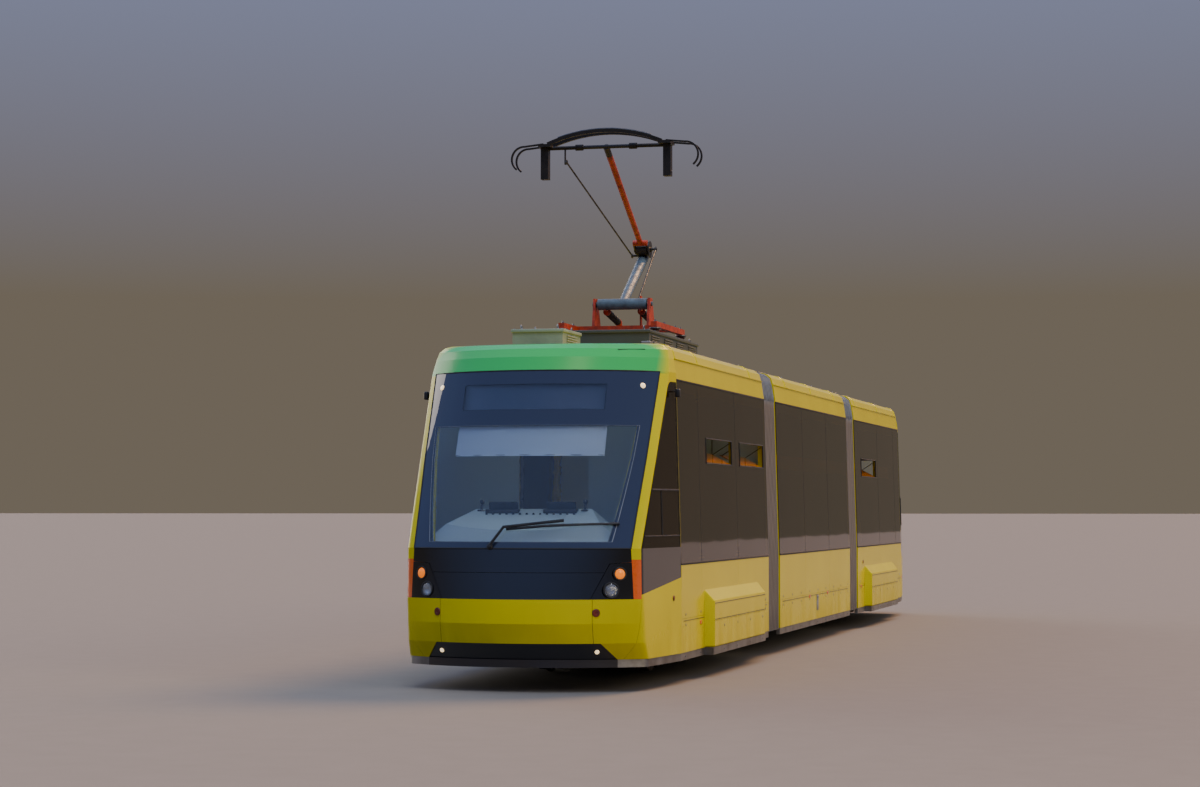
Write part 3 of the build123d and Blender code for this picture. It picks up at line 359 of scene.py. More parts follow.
# Behind pale_case_from, the cases take the darker slate: partly their own coat, partly painted shade.
coat = add_node(tree, "Mix", {"Factor": past, "A": srgb("#3C4644"), "B": srgb("#83998A")}, data_type="RGBA")["Result"]
soil = add_node(tree, "MapRange", {"Value": stain, "From Min": 0.4, "From Max": 0.75, "To Max": 0.5})["Result"]
tone = add_node(tree, "Mix", {"Factor": soil, "A": coat, "B": srgb("#3A3B36")}, data_type="RGBA")["Result"]
texture = add_node(tree, "TexNoise", {"Vector": place, "Scale": cells(powder_mm)})["Fac"]
bump = add_node(tree, "Bump", {"Height": texture, "Strength": 0.08, "Distance": 0.001})["Normal"]
tree.links.new(tone, shader["Base Color"])
tree.links.new(bump, shader["Normal"])
dress(case_coat, "front_roof_gear", "mid_roof_gear", "rear_roof_gear")

# Running gear: black-painted cast and welded frames, matt and browned in clouds by brake dust,
# and bare forged wheels, dull steel with a bloom of rust that takes their shine.
dust_mm, rust_mm = 143, 55.6
tree, shader, place, dusty_black = new_material("brake_dusted_black_paint", roughness=0.7)
dust = add_node(tree, "TexNoise", {"Vector": place, "Scale": cells(dust_mm), "Detail": 8.0})["Fac"]
lay = add_node(tree, "MapRange", {"Value": dust, "From Min": 0.35, "From Max": 0.7})["Result"]
tone = add_node(tree, "Mix", {"Factor": lay, "A": srgb("#232425"), "B": srgb("#4A3D31")}, data_type="RGBA")["Result"]
bump = add_node(tree, "Bump", {"Height": dust, "Strength": 0.3, "Distance": 0.003})["Normal"]
tree.links.new(tone, shader["Base Color"])
tree.links.new(bump, shader["Normal"])
tree, shader, place, forged = new_material("forged_wheel_steel", metallic=0.9, roughness=0.5)
rust = add_node(tree, "TexNoise", {"Vector": place, "Scale": cells(rust_mm), "Detail": 8.0})["Fac"]
bloom = add_node(tree, "MapRange", {"Value": rust, "From Min": 0.4, "From Max": 0.65})["Result"]
tone = add_node(tree, "Mix", {"Factor": bloom, "A": srgb("#6E6862"), "B": srgb("#4B3A2E")}, data_type="RGBA")["Result"]
rough = add_node(tree, "MapRange", {"Value": rust, "From Min": 0.3, "From Max": 0.7, "To Min": 0.35,
                                    "To Max": 0.75})["Result"]
tree.links.new(tone, shader["Base Color"])
tree.links.new(rough, shader["Roughness"])
for end in ("front", "rear"):
    dress(dusty_black, end + "_bogie")
    dress(forged, end + "_wheelset_a", end + "_wheelset_b")

# Pantograph: orange-red enamel on the base and upper arm, blue-grey enamel on the lower arm,
# brown glazed insulators, zinc-plated rods and a blackened collector head. To the eye: thin
# paint worn in patches, gone black with grease round the knee and head pivots.
knee_at, knee_r = (4.4, 4.55), 0.125
head_at, head_r = (6.1, 5.47), 0.16
wear_mm = 71.4


def weathered(name, light, dark, rough, spots=(), **sockets):
    """Paint, plating, rubber or plastic worn in patches; spots are (x, z) of greased pivots and a radius."""
    tree, shader, place, made = new_material(name, **sockets)
    wear = add_node(tree, "TexNoise", {"Vector": place, "Scale": cells(wear_mm), "Detail": 7.0})["Fac"]
    worn = add_node(tree, "MapRange", {"Value": wear, "From Min": 0.35, "From Max": 0.7})["Result"]
    tone = add_node(tree, "Mix", {"Factor": worn, "A": srgb(light), "B": srgb(dark)}, data_type="RGBA")["Result"]
    flat = add_node(tree, "VectorMath", {0: place, 1: (1, 0, 1)}, operation="MULTIPLY")[0]
    for (x, z), radius in spots:
        gap = add_node(tree, "VectorMath", {0: flat, 1: (x, 0, z)}, operation="DISTANCE")["Value"]
        near = add_node(tree, "MapRange", {"Value": gap, "From Min": radius, "From Max": radius * 0.93})["Result"]
        tone = add_node(tree, "Mix", {"Factor": near, "A": tone, "B": srgb("#1E1C1B")}, data_type="RGBA")["Result"]
    shine = add_node(tree, "MapRange", {"Value": wear, "From Min": 0.3, "From Max": 0.7, "To Min": rough - 0.08,
                                        "To Max": rough + 0.15})["Result"]
    tree.links.new(tone, shader["Base Color"])
    tree.links.new(shine, shader["Roughness"])
    return made


oxide_enamel = weathered("orange_red_enamel", "#B83A10", "#7E2508", 0.42, [(knee_at, knee_r), (head_at, head_r)])
slate_enamel = weathered("blue_grey_enamel", "#5B6F78", "#44525A", 0.45, [(knee_at, knee_r * 0.8)])
glaze = weathered("brown_insulator_glaze", "#4A2418", "#33170F", 0.22, coat_weight=0.6)
zinc = weathered("dull_zinc_plate", "#5C5D5A", "#3A3835", 0.5, metallic=0.8)
bronze_black = weathered("blackened_collector_metal", "#2A2724", "#191715", 0.45, metallic=0.5)
dress(oxide_enamel, "panto_base", "panto_upper_arm")
dress(slate_enamel, "panto_lower_arm")
dress(glaze, "panto_insulators")
dress(zinc, "panto_thrust_rod", "panto_level_rod")
dress(bronze_black, "panto_head")

# Gangway bellows: folds of coated polyester cloth over each pivot, clamped to the section ends,
# with piped crests over the roof and a slacker skirt down the walls, open underneath. To the eye:
# matt brown-grey, painted paler and bluer over the roof as painted sky light and darker at the foot as painted shade,
# its weave drawn at 5 mm to show.
half_width, waist_z, band_top, cant_z, roof_top = 1.25, 1.14, 2.91, 3.105, 3.25
band_lean, cant_lean = 0.049, 0.077
roof_corner = [(1.173, cant_z), (1.148, 3.19), (1.095, 3.235), (1.04, roof_top)]
bellows_x = (2.7503, 3.4997)
rim, foot_z, fold_deep, slack_share, sag = 0.013, 0.287, 0.034, 0.42, 0.004
folds, wall_rows, roof_rows = 9, 16, 14
fold_steps = (0, 0.2, 0.38, 0.5, 0.62, 0.8)
# Heights over which the painted sky light comes in on the roof and the painted shade comes in at the foot.
roof_light_z, foot_shade_z, crest_from = (2.85, 2.98), (0.62, 0.34), 2.8
wave_up, wave_along = 7, 23
cloth_thick, piping_r = 0.004, 0.006
mottle_mm, weave_mm = 167, 5.2


def wall_y(z):
    """Half width of the body's outer face at a height."""
    if z <= waist_z:
        return half_width
    if z <= band_top:
        return half_width - band_lean * (z - waist_z) / (band_top - waist_z)
    return half_width - band_lean - (cant_lean - band_lean) * (z - band_top) / (cant_z - band_top)


def begin(add, **settings):
    """Adds a primitive with nothing else selected."""
    bpy.ops.object.select_all(action="DESELECT")
    add(**settings)
    return bpy.context.object


def modify(piece, kind, **settings):
    """Adds a modifier with its settings and applies it."""
    bpy.context.view_layer.objects.active = piece
    step = piece.modifiers.new(kind.lower(), kind)
    for name, value in settings.items():
        setattr(step, name, value)
    bpy.ops.object.modifier_apply(modifier=step.name)
    return piece


def wire(points, thick=0.0, closed=False, smooth=False, fine=4):
    """Line through points, straight or smooth, with a round section if it has a thickness, as a mesh."""
    data = bpy.data.curves.new("wire", "CURVE")
    data.dimensions = "3D"
    spline = data.splines.new("NURBS" if smooth else "POLY")
    spline.points.add(len(points) - 1)
    for knot, point in zip(spline.points, points):
        knot.co = (*point, 1)
    spline.use_cyclic_u = closed
    if smooth:
        spline.order_u = 3
        spline.use_endpoint_u = not closed
        spline.resolution_u = fine
    data.bevel_depth = thick
    data.bevel_resolution = 2
    data.use_fill_caps = thick > 0
    piece = bpy.data.objects.new("wire", data)
    bpy.context.collection.objects.link(piece)
    bpy.ops.object.select_all(action="DESELECT")
    piece.select_set(True)
    bpy.context.view_layer.objects.active = piece
    bpy.ops.object.convert(target="MESH")
    return bpy.context.object


def join(pieces):
    """Makes one object of several shapes."""
    bpy.ops.object.select_all(action="DESELECT")
    for piece in pieces:
        piece.select_set(True)
    bpy.context.view_layer.objects.active = pieces[0]
    if len(pieces) > 1:
        bpy.ops.object.join()
    return bpy.context.object


def twin(piece, move=(0, 0, 0), mirror=(1, 1, 1)):
    """Copies a shape with its own mesh, mirrored about the tram's middle planes, then moved."""
    made = piece.copy()
    made.data = piece.data.copy()
    made.parent = None
    bpy.context.collection.objects.link(made)
    made.data.transform(Matrix.Translation(move) @ Matrix.Diagonal((*mirror, 1)) @ piece.matrix_world)
    made.matrix_world = Matrix()
    if mirror[0] * mirror[1] * mirror[2] < 0:
        made.data.flip_normals()
    return made


def settle(piece, name, material, body, crease=35):
    """Puts a shape's place into its mesh, shades, paints and names it, and fixes it to its body."""
    bpy.ops.object.select_all(action="DESELECT")
    piece.select_set(True)
    bpy.context.view_layer.objects.active = piece
    bpy.ops.object.transform_apply(location=True, rotation=True, scale=True)
    bpy.ops.object.shade_smooth_by_angle(angle=math.radians(crease))
    piece.name = name
    piece.data.materials.clear()
    piece.data.materials.append(material)
    if body:
        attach(piece, body)
    return piece


tree, shader, place, gangway_cloth = new_material("coated_gangway_cloth", roughness=0.72, sheen_weight=0.2)
height = add_node(tree, "SeparateXYZ", {"Vector": place})["Z"]
mottle = add_node(tree, "TexNoise", {"Vector": place, "Scale": cells(mottle_mm), "Detail": 7.0})["Fac"]
sky_lit_roof = add_node(tree, "MapRange", {"Value": height, "From Min": roof_light_z[0],
                                      "From Max": roof_light_z[1]})["Result"]
shaded_foot = add_node(tree, "MapRange", {"Value": height, "From Min": foot_shade_z[0],
                                      "From Max": foot_shade_z[1]})["Result"]
dull = add_node(tree, "MapRange", {"Value": mottle, "From Min": 0.45, "From Max": 0.75, "To Max": 0.45})["Result"]
# Paler blue-grey over the roof is painted sky light; darker at the foot is painted shade.
tone = srgb("#45413A")
for amount, code in ((sky_lit_roof, "#656E76"), (shaded_foot, "#24221F"), (dull, "#3B3731")):
    tone = add_node(tree, "Mix", {"Factor": amount, "A": tone, "B": srgb(code)}, data_type="RGBA")["Result"]
weave = add_node(tree, "TexWave", {"Vector": place, "Scale": bands(weave_mm)}, bands_direction="DIAGONAL")["Fac"]
bump = add_node(tree, "Bump", {"Height": weave, "Strength": 0.25, "Distance": 0.002})["Normal"]
tree.links.new(tone, shader["Base Color"])
tree.links.new(bump, shader["Normal"])

wall_part = [foot_z + (band_top - foot_z) * k / wall_rows for k in range(wall_rows + 1)]
half_ring = [(wall_y(z) - rim, z) for z in wall_part] + [(y - rim, z - rim) for y, z in roof_corner]
top_y, top_z = half_ring[-1]
ring = half_ring + [(top_y * (1 - 2 * k / roof_rows), top_z) for k in range(1, roof_rows)]
ring += [(-y, z) for y, z in reversed(half_ring)]
pitch = (bellows_x[1] - bellows_x[0]) / folds
stations = [bellows_x[0] + pitch * (i + step) for i in range(folds) for step in fold_steps] + [bellows_x[1]]
bellows = wire([(stations[0], y, z) for y, z in ring])
bpy.ops.object.mode_set(mode="EDIT")
bpy.ops.mesh.select_all(action="SELECT")
for back, ahead in zip(stations, stations[1:]):
    bpy.ops.mesh.extrude_edges_move(TRANSFORM_OT_translate={"value": (ahead - back, 0, 0)})
bpy.ops.object.mode_set(mode="OBJECT")
for point in bellows.data.vertices:
    x, y, z = point.co
    turn = math.pi * (x - bellows_x[0]) / pitch
    rise = min(max((z - band_top) / (top_z - band_top), 0), 1)
    deep = fold_deep * (slack_share + (1 - slack_share) * rise) * (1 - abs(math.sin(turn)))
    side = 1 if y > 0 else -1
    slump = sag * (1 - rise) * math.sin(wave_up * z + wave_along * x)
    slump *= math.sin(math.pi * (x - bellows_x[0]) / (folds * pitch))
    point.co.y -= side * (deep + abs(slump)) * (1 - rise ** 2)
    point.co.z -= deep * rise
if sum(face.normal.z for face in bellows.data.polygons if face.center.z > roof_top - 0.05) < 0:
    bellows.data.flip_normals()
modify(bellows, "SOLIDIFY", thickness=cloth_thick, offset=-1)
crest = [(y, z) for y, z in ring if z > crest_from]
piping = [wire([(bellows_x[0] + pitch * (i + 0.5), y, z) for y, z in crest], piping_r) for i in range(folds)]
bellows = join([bellows] + piping)
for end, shape, way in (("rear", twin(bellows, mirror=(-1, 1, 1)), -1), ("front", bellows, 1)):
    settle(shape, end + "_gangway_bellows", gangway_cloth, None, crease=50)
    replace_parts(shape, end + "_gangway")
    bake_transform(shape)

# Windscreen seal: black rubber bead pressed between the laminated screen and the mouldings
# round it, with a plain drain slot in the hood above.
bead_r, rows, columns, before_nose = 0.007, 10, 16, 12
slot_px = [(618, 349.6), (645, 349.2)]
slot_r = 0.006


def touch(start, heading, *nodes):
    """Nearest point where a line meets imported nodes, and the outward direction there."""
    start, heading = Vector(start), Vector(heading).normalized()
    met = [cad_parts[node].ray_cast(start, heading) for node in nodes]
    point, normal = min([(p, n) for hit, p, n, face in met if hit], key=lambda found: (found[0] - start).length)
    return point, normal


def seen_at(pixel, *nodes):
    """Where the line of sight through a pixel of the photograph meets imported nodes."""
    u, v = pixel
    return touch(eye, sight * focal_px + across * (u - photo_w / 2) + upward * (photo_h / 2 - v), *nodes)


def both_ends(piece, name, material, slot, *nodes, crease=35):
    """Fixes a piece to the front section and its mirror image to the rear one, in place of these nodes."""
    shapes = {"rear": twin(piece, mirror=(-1, 1, 1)), "front": piece}
    for end, shape in shapes.items():
        settle(shape, end + "_" + name, material, end + "_section", crease)
        if nodes:
            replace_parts(shape, *[end + "_" + node for node in nodes])


# Extruded rubber for every seal: dull black, greyed in patches.
rubber = weathered("matt_black_rubber", "#17181A", "#232323", 0.75)
nose_parts = ("front_windscreen", "front_cab_shell", "front_mask", "front_glazing")
(foot_x, low_z), high_z = screen_foot, screen_head[1]
edge = []
for k in range(rows + 1):
    z = low_z + (high_z - low_z) * k / rows
    edge.append(touch((foot_x + rake * (z - low_z), 2, z), (0, -1, 0), *nose_parts)[0])
top, bottom = [[touch((before_nose, y * (1 - 2 * k / columns), z), (-1, 0, 0), *nose_parts)[0]
                for k in range(1, columns)] for y, z in ((edge[-1].y, high_z), (-edge[0].y, low_z))]
mirrored = [Vector((p.x, -p.y, p.z)) for p in reversed(edge)]
both_ends(wire(edge + top + mirrored + bottom, bead_r, closed=True), "windscreen_seal", rubber, "black_moulding")
slot_ends = [seen_at(pixel, "front_cab_shell")[0] for pixel in slot_px]
both_ends(wire(slot_ends, slot_r), "hood_slot", rubber, "black_moulding")

# Windscreen wiper: satin-black steel arm from a spindle under the glass, bent at the elbow,
# with a long blade held at its middle and a rubber lip on the screen.
pivot_px, elbow_px, joint_px = (490, 547), (505, 528.5), (564, 521.5)
blade_px = [(507, 530), (535, 527.3), (563, 525.8), (591, 525), (619, 524.5)]
arm_r, blade_r, lip_r = 0.014, 0.012, 0.004
arm_root, elbow_up, joint_up, blade_up, lip_up = 0.03, 0.045, 0.032, 0.022, 0.009
spindle_form = [(0.028, -0.004), (0.028, 0.012), (0.02, 0.018), (0.02, 0.036), (0.012, 0.04)]


def lifted(pixel, height, *nodes):
    """Point over the surface that a pixel shows."""
    point, normal = seen_at(pixel, *nodes)
    return point + normal * height


def turned(steps, place=(0, 0, 0), axis=(0, 0, 1), sides=24, hollow=False):
    """Round part drawn up ring by ring from (radius, height) steps, then set on its axis."""
    radius, height = steps[0]
    piece = begin(bpy.ops.mesh.primitive_circle_add, vertices=sides, radius=radius, location=(0, 0, height),
                  fill_type="NOTHING" if hollow else "NGON")
    bpy.ops.object.mode_set(mode="EDIT")
    bpy.ops.mesh.select_all(action="SELECT")
    draw_out = bpy.ops.mesh.extrude_edges_move if hollow else bpy.ops.mesh.extrude_region_move
    for (r0, z0), (r1, z1) in zip(steps, steps[1:]):
        draw_out(TRANSFORM_OT_translate={"value": (0, 0, z1 - z0)})
        bpy.ops.transform.resize(value=(r1 / r0, r1 / r0, 1), center_override=(0, 0, z1))
    bpy.ops.mesh.select_all(action="SELECT")
    bpy.ops.mesh.normals_make_consistent(inside=False)
    bpy.ops.object.mode_set(mode="OBJECT")
    upright = Vector(axis).to_track_quat("Z", "Y").to_matrix().to_4x4()
    piece.data.transform(Matrix.Translation(place) @ upright @ piece.matrix_world)
    piece.matrix_world = Matrix()
    return piece


# Powder-coated steel fittings: satin black with a soft sheen.
satin_black = weathered("satin_black_paint", "#121315", "#1E1F20", 0.4)
spindle, out = seen_at(pivot_px, "front_mask", "front_windscreen")
arm = [turned(spindle_form, spindle, out),
       wire([spindle + out * arm_root, lifted(elbow_px, elbow_up, "front_windscreen"),
             lifted(joint_px, joint_up, "front_windscreen")], arm_r),
       wire([lifted(p, blade_up, "front_windscreen") for p in blade_px], blade_r, smooth=True)]
both_ends(join(arm), "wiper_arm", satin_black, "black_moulding")
lip = wire([lifted(p, lip_up, "front_windscreen") for p in blade_px], lip_r, smooth=True)
both_ends(lip, "wiper_blade_lip", rubber, "black_moulding")

# Nose lamps: a headlamp and an indicator on each side, each a bright bowl and bulb behind a
# fluted lens in a black rubber ring; at the rear the large ones are red tail lamps.
lamp_spots = [(0.87, 0.932, 0.06), (0.94, 1.08, 0.048)]  # y, z, radius of the headlamp and the indicator
ring_out, ring_r, lens_set, flute_mm = 0.008, 0.009, 0.011, 11.2


def lens_material(name, colours, glow, **sockets):
    """Moulded clear or coloured lens plastic with fine upright flutes, and a lit bulb's glow where it is on."""
    return two_tone(name, "TexWave", {"Scale": bands(flute_mm)}, colours, (0.35, 0.003), glow=True, axis="Y",
                    roughness=0.06, ior=1.49, emission_strength=glow, **sockets)


# Clear, amber, red and warm-white acrylic: glossy over the flutes, bright where the bulb is on.
clear_lens = lens_material("clear_lamp_lens", ("#F2F5F6", "#E2E8EA"), 0.0, transmission_weight=0.95)
amber_lens = lens_material("lit_amber_lens", ("#FF9A1E", "#F07A08"), 0.5, transmission_weight=0.2)
red_lens = lens_material("red_tail_lens", ("#C0120A", "#8E0805"), 0.05, transmission_weight=0.25)
warm_lens = lens_material("lit_warm_white_lens", ("#FFE9C0", "#FFDCA0"), 1.3, transmission_weight=0.1)
# Vacuum-metallised bowls: bright silver, nearly a mirror.
bright_bowl = weathered("bright_reflector_film", "#C9CBCE", "#AEB2B6", 0.12, metallic=1.0)
rings, bowls, lenses = [], [], []
for y, z, r in lamp_spots:
    for side in (1, -1):
        seat, out = touch((before_nose, side * y, z), (-1, 0, 0), "front_lamps")
        front = seat + out * lens_set
        upright = out.to_track_quat("Z", "Y").to_euler()
        rings.append(begin(bpy.ops.mesh.primitive_torus_add, major_radius=r + ring_out, minor_radius=ring_r,
                           major_segments=40, minor_segments=10, location=front, rotation=upright))
        bowl = turned([(r + 0.002, 0.0), (r - 0.004, -0.006), (r * 0.8, -0.026), (r * 0.45, -0.042),
                       (r * 0.15, -0.046)], front, out, 32, hollow=True)
        bowls.append(modify(bowl, "SOLIDIFY", thickness=0.002))
        bowls.append(turned([(0.012, -0.047), (0.012, -0.034), (0.008, -0.024), (0.003, -0.021)], front, out, 12))
        lenses.append(turned([(r, -0.004), (r, 0.001), (r * 0.85, 0.007), (r * 0.5, 0.012), (r * 0.12, 0.0135)],
                             front, out, 32))
both_ends(join(rings), "lamp_rings", rubber, "black_moulding")
both_ends(join(bowls), "lamp_bowls", bright_bowl, "lamp_lens", "lamps")
main_lens, turn_lens = join(lenses[:2]), join(lenses[2:])
tail_lens = twin(main_lens, mirror=(-1, 1, 1))
settle(main_lens, "front_headlamp_lenses", clear_lens, "front_section")
settle(tail_lens, "rear_tail_lamp_lenses", red_lens, "rear_section")
both_ends(turn_lens, "indicator_lenses", amber_lens, "lamp_lens")

# Small nose lamps: warm white markers bonded to the screen's upper corners, two white lamps on
# the valance, and round red-brown caps over the coupling's side pins in the bumper.
marker_spot = (0.985, 2.83)
valance_px, cap_px = (597, 652), (596, 613)
markers, whites, caps = [], [], []
for side in (1, -1):
    spot, out = touch((before_nose, side * marker_spot[0], marker_spot[1]), (-1, 0, 0), "front_windscreen")
    markers.append(turned([(0.026, -0.003), (0.026, 0.004), (0.02, 0.01), (0.006, 0.013)], spot, out, 20))
white_at, white_out = seen_at(valance_px, "front_mask", "front_bumper")
cap_at, cap_out = seen_at(cap_px, "front_bumper")
whites.append(turned([(0.021, -0.003), (0.021, 0.006), (0.016, 0.012), (0.005, 0.015)], white_at, white_out, 20))
caps.append(turned([(0.037, -0.003), (0.037, 0.003), (0.033, 0.007), (0.014, 0.007), (0.012, 0.004), (0.004, 0.004)],
                   cap_at, cap_out, 28))
# Moulded caps: red-brown plastic with a low sheen.
cap_brown = weathered("red_brown_cap_plastic", "#6A2418", "#4A1A12", 0.4)
both_ends(join(markers), "marker_lamps", warm_lens, "lamp_lens")
both_ends(join(whites + [twin(whites[0], mirror=(1, -1, 1))]), "valance_lamps", warm_lens, "lamp_lens")
both_ends(join(caps + [twin(caps[0], mirror=(1, -1, 1))]), "bumper_caps", cap_brown, "body_paint")

# Mirror cameras: small black housings on short arms at the front corners of the cab, one each
# side, each with a lens that looks back along the tram.
camera_px = (671.8, 392.6)
pod_reach, pod_half = 0.062, (0.03, 0.022, 0.04)


def block(low, high, round_off=0.004, cuts=2):
    """Cube set between two corners with its edges rounded off."""
    low, high = Vector(low), Vector(high)
    piece = begin(bpy.ops.mesh.primitive_cube_add, size=1, location=(low + high) / 2)
    piece.scale = high - low
    bpy.ops.object.transform_apply(location=True, rotation=True, scale=True)
    return modify(piece, "BEVEL", width=round_off, segments=cuts, limit_method="NONE")


def about(centre, half, round_off=0.004, cuts=2):
    """Rounded block by its centre and half sizes."""
    centre, half = Vector(centre), Vector(half)
    return block(centre - half, centre + half, round_off, cuts)


spot, out = seen_at(camera_px, "front_cab_shell", "front_glazing", "front_sides")
pod_at = spot + Vector((0, pod_reach, -0.005))
pod = [about(pod_at, pod_half, 0.012, 4), about(spot + Vector((0.004, pod_reach / 2, 0.012)), (0.012, 0.034, 0.009))]
pod.append(turned([(0.013, 0), (0.013, 0.006), (0.009, 0.009), (0.008, 0.006), (0.003, 0.007)],
                  pod_at + Vector((-pod_half[0], 0, 0.01)), (-1, 0, 0), 16))
pod = join(pod)
pods = join([pod, twin(pod, mirror=(1, -1, 1))])
settle(pods, "front_mirror_cameras", satin_black, "front_section")

# Side markings: moulded amber reflectors, red-brown marker discs and a grey socket cover,
# each screwed to the wall at the height the photograph shows, on both sides.
reflector_xz = {"front": [(7.28, 0.557)], "mid": [(0.64, 0.595), (-0.78, 0.6)],
                "rear": [(-3.83, 0.59), (-8.6, 0.6)]}
disc_xz = {"front": (8.43, 0.83), "rear": (-4.0, 0.93)}
socket_xz, beside_tram = (0.05, 0.5), 3
wall_parts = {end: [end + part for part in ("_sides", "_bumper", "_wheel_covers", "_low_floor")]
              for end in ("front", "rear")}
wall_parts["mid"] = ["mid_sides", "mid_floor"]
body_of = {"front": "front_section", "mid": "middle_section", "rear": "rear_section"}


def on_wall(part, x, z):
    """Point on a section's left outer face, and the way it faces."""
    return touch((x, beside_tram, z), (0, -1, 0), *wall_parts[part])


def both_sides(pieces):
    """Joins shapes with their mirror images on the other side."""
    left = join(pieces)
    return join([left, twin(left, mirror=(1, -1, 1))])


for part, places in reflector_xz.items():
    plates = [about(on_wall(part, *p)[0], (0.045, 0.007, 0.02), 0.005, 3) for p in places]
    settle(both_sides(plates), part + "_side_reflectors", orange_acrylic, body_of[part])
for part, (x, z) in disc_xz.items():
    spot, out = on_wall(part, x, z)
    disc = turned([(0.026, -0.002), (0.026, 0.004), (0.02, 0.008), (0.006, 0.009)], spot, (0, 1, 0), 20)
    settle(both_sides([disc]), part + "_marker_discs", cap_brown, body_of[part])
spot, out = on_wall("mid", *socket_xz)
socket = [about(spot, (0.06, 0.008, 0.095), 0.006, 3),
          about(spot + Vector((0, 0.01, 0.07)), (0.03, 0.006, 0.008), 0.003)]
# Socket cover: mid-grey moulded plastic, chalky in patches.
socket_grey = weathered("grey_moulded_socket_cover", "#83878A", "#6B6E70", 0.5)
settle(join(socket), "mid_socket_cover", socket_grey, "middle_section")

# Cab side windows: the sliding lights' black frames over the bonded pane, with the rail that
# parts the upper glass from the two lower panes.
rail_z, lower_z, split_x = 1.85, 1.42, 8.74
pane_from, pane_foot, pane_head = 8.225, 1.34, 2.86
bar_r, thin_r, bar_steps = 0.0085, 0.006, 6
pillar_foot, pillar_head = (9.325, 1.31), (8.38, 2.97)


def on_pane(x, z):
    """Point on the cab's left side pane."""
    return touch((x, beside_tram, z), (0, -1, 0), "front_glazing", "front_cab_shell")[0]


def pillar_x(z):
    """Rear edge of the raked corner pillar at a height."""
    (x0, z0), (x1, z1) = pillar_foot, pillar_head
    return x0 + (x1 - x0) * (z - z0) / (z1 - z0)


def pane_bar(z, short, r):
    """Level bar over the pane, from its rear edge to this far short of the pillar."""
    long = pillar_x(z) - short - pane_from
    return wire([on_pane(pane_from + long * k / (bar_steps - 1), z) for k in range(bar_steps)], r)


frames = [pane_bar(rail_z, 0.02, bar_r), pane_bar(lower_z, 0.03, thin_r),
          wire([on_pane(split_x, lower_z), on_pane(split_x, rail_z)], bar_r),
          wire([on_pane(pane_from, z) for z in (pane_foot, rail_z, pane_head)], thin_r)]
both_ends(both_sides(frames), "cab_window_rails", satin_black, "black_moulding")

# Hopper windows: black-anodised frames round the openings in the side glass, with stay arms
# from the frame to the leaning pane.
# Openings: x0, x1.
hopper_spans = {"front": [(3.68, 5.08), (5.53, 6.87)], "rear": [(-5.57, -4.08)]}
hopper_z = (2.13, 2.38)
frame_r, stay_r, stay_in, stay_z = 0.008, 0.005, 0.025, 2.36
pane_edge, latch_at = (1.015, 2.238), (1.012, 2.246)
for end, spans in hopper_spans.items():
    frames = []
    for x0, x1 in spans:
        loop = [(x, wall_y(z) - 0.002, z) for x, z in ((x0, hopper_z[0]), (x1, hopper_z[0]), (x1, hopper_z[1]),
                                                       (x0, hopper_z[1]))]
        frames.append(wire(loop, frame_r, closed=True))
        for x in (x0 + stay_in, x1 - stay_in):
            frames.append(wire([(x, wall_y(stay_z) - 0.012, stay_z), (x, *pane_edge)], stay_r))
        frames.append(about(((x0 + x1) / 2, *latch_at), (0.05, 0.012, 0.012), 0.004))
    settle(join(frames), end + "_hopper_frames", satin_black, end + "_section")

# Glass-band seals: rubber strips along the top and bottom of the bonded side glass, and black
# sealant in the joints between panes.
strip_half, sealant_r = (0.005, 0.009), 0.0045
# By section and side (1 is left): x0, x1 of the glass between doors, and x of the joints in it.
band_runs = {"front": {1: [(3.505, 8.196)], -1: [(3.505, 7.198)]},
             "mid": {1: [(-2.745, 2.745)], -1: [(-2.745, -2.262), (-0.838, 0.838), (2.262, 2.745)]},
             "rear": {1: [(-8.196, -3.505)], -1: [(-7.198, -3.505)]}}
joint_x = {"front": {1: [5.305, 7.225], -1: [5.305]}, "mid": {1: [-0.94, 0.94], -1: []},
           "rear": {1: [-5.775, -7.575], -1: [-5.305]}}
for part, sides in band_runs.items():
    strips = []
    for side, runs in sides.items():
        for x0, x1 in runs:
            for z, y in ((waist_z + 0.004, half_width), (band_top - 0.004, wall_y(band_top))):
                strips.append(about(((x0 + x1) / 2, side * (y - 0.001), z),
                                    ((x1 - x0) / 2, strip_half[0], strip_half[1]), 0.003))
        for x in joint_x[part][side]:
            ends = [(x, side * (wall_y(z) - 0.004), z) for z in (waist_z + 0.01, band_top - 0.01)]
            strips.append(wire(ends, sealant_r))
    settle(join(strips), part + "_glass_band_seals", rubber, body_of[part])

# Door trim, right side: rubber fingers where leaves meet, seals round each opening and each
# door light, flush push buttons and the upright handles behind the glass.
# Doorways: x0, x1, and whether there are two leaves.
door_spans = {"front": [(7.21, 8.11, False)], "rear": [(-8.11, -7.21, False)],
              "mid": [(-2.25, -0.85, True), (0.85, 2.25, True)]}
door_z, light_z, stile, leaf_gap, jamb = (0.345, 2.776), (0.56, 2.67), 0.09, 0.003, 0.004
finger_r, seal_r, light_r = 0.011, 0.006, 0.005
button_z, button_form = 1.22, [(0.024, 0), (0.024, 0.006), (0.018, 0.009), (0.005, 0.009)]
handle_z, handle_in, handle_off, handle_r = 1.3, 0.1, 0.05, 0.014
handle_bends = [(0.045, 0.95), (0, 0.98), (0, 1.72), (0.045, 1.75)]
# Brushed stainless tube, pale with a satin gloss, and green button lenses, faintly lit.
handle_steel = weathered("brushed_stainless_tube", "#A9ABAC", "#8E9091", 0.3, metallic=1.0)
button_green = lens_material("green_button_lens", ("#2FA35A", "#1D7C42"), 0.12, transmission_weight=0.2)


def right_wall(x, z, out=0.0):
    """Point this far out of the right wall's outer face."""
    return (x, -(wall_y(z) + out), z)


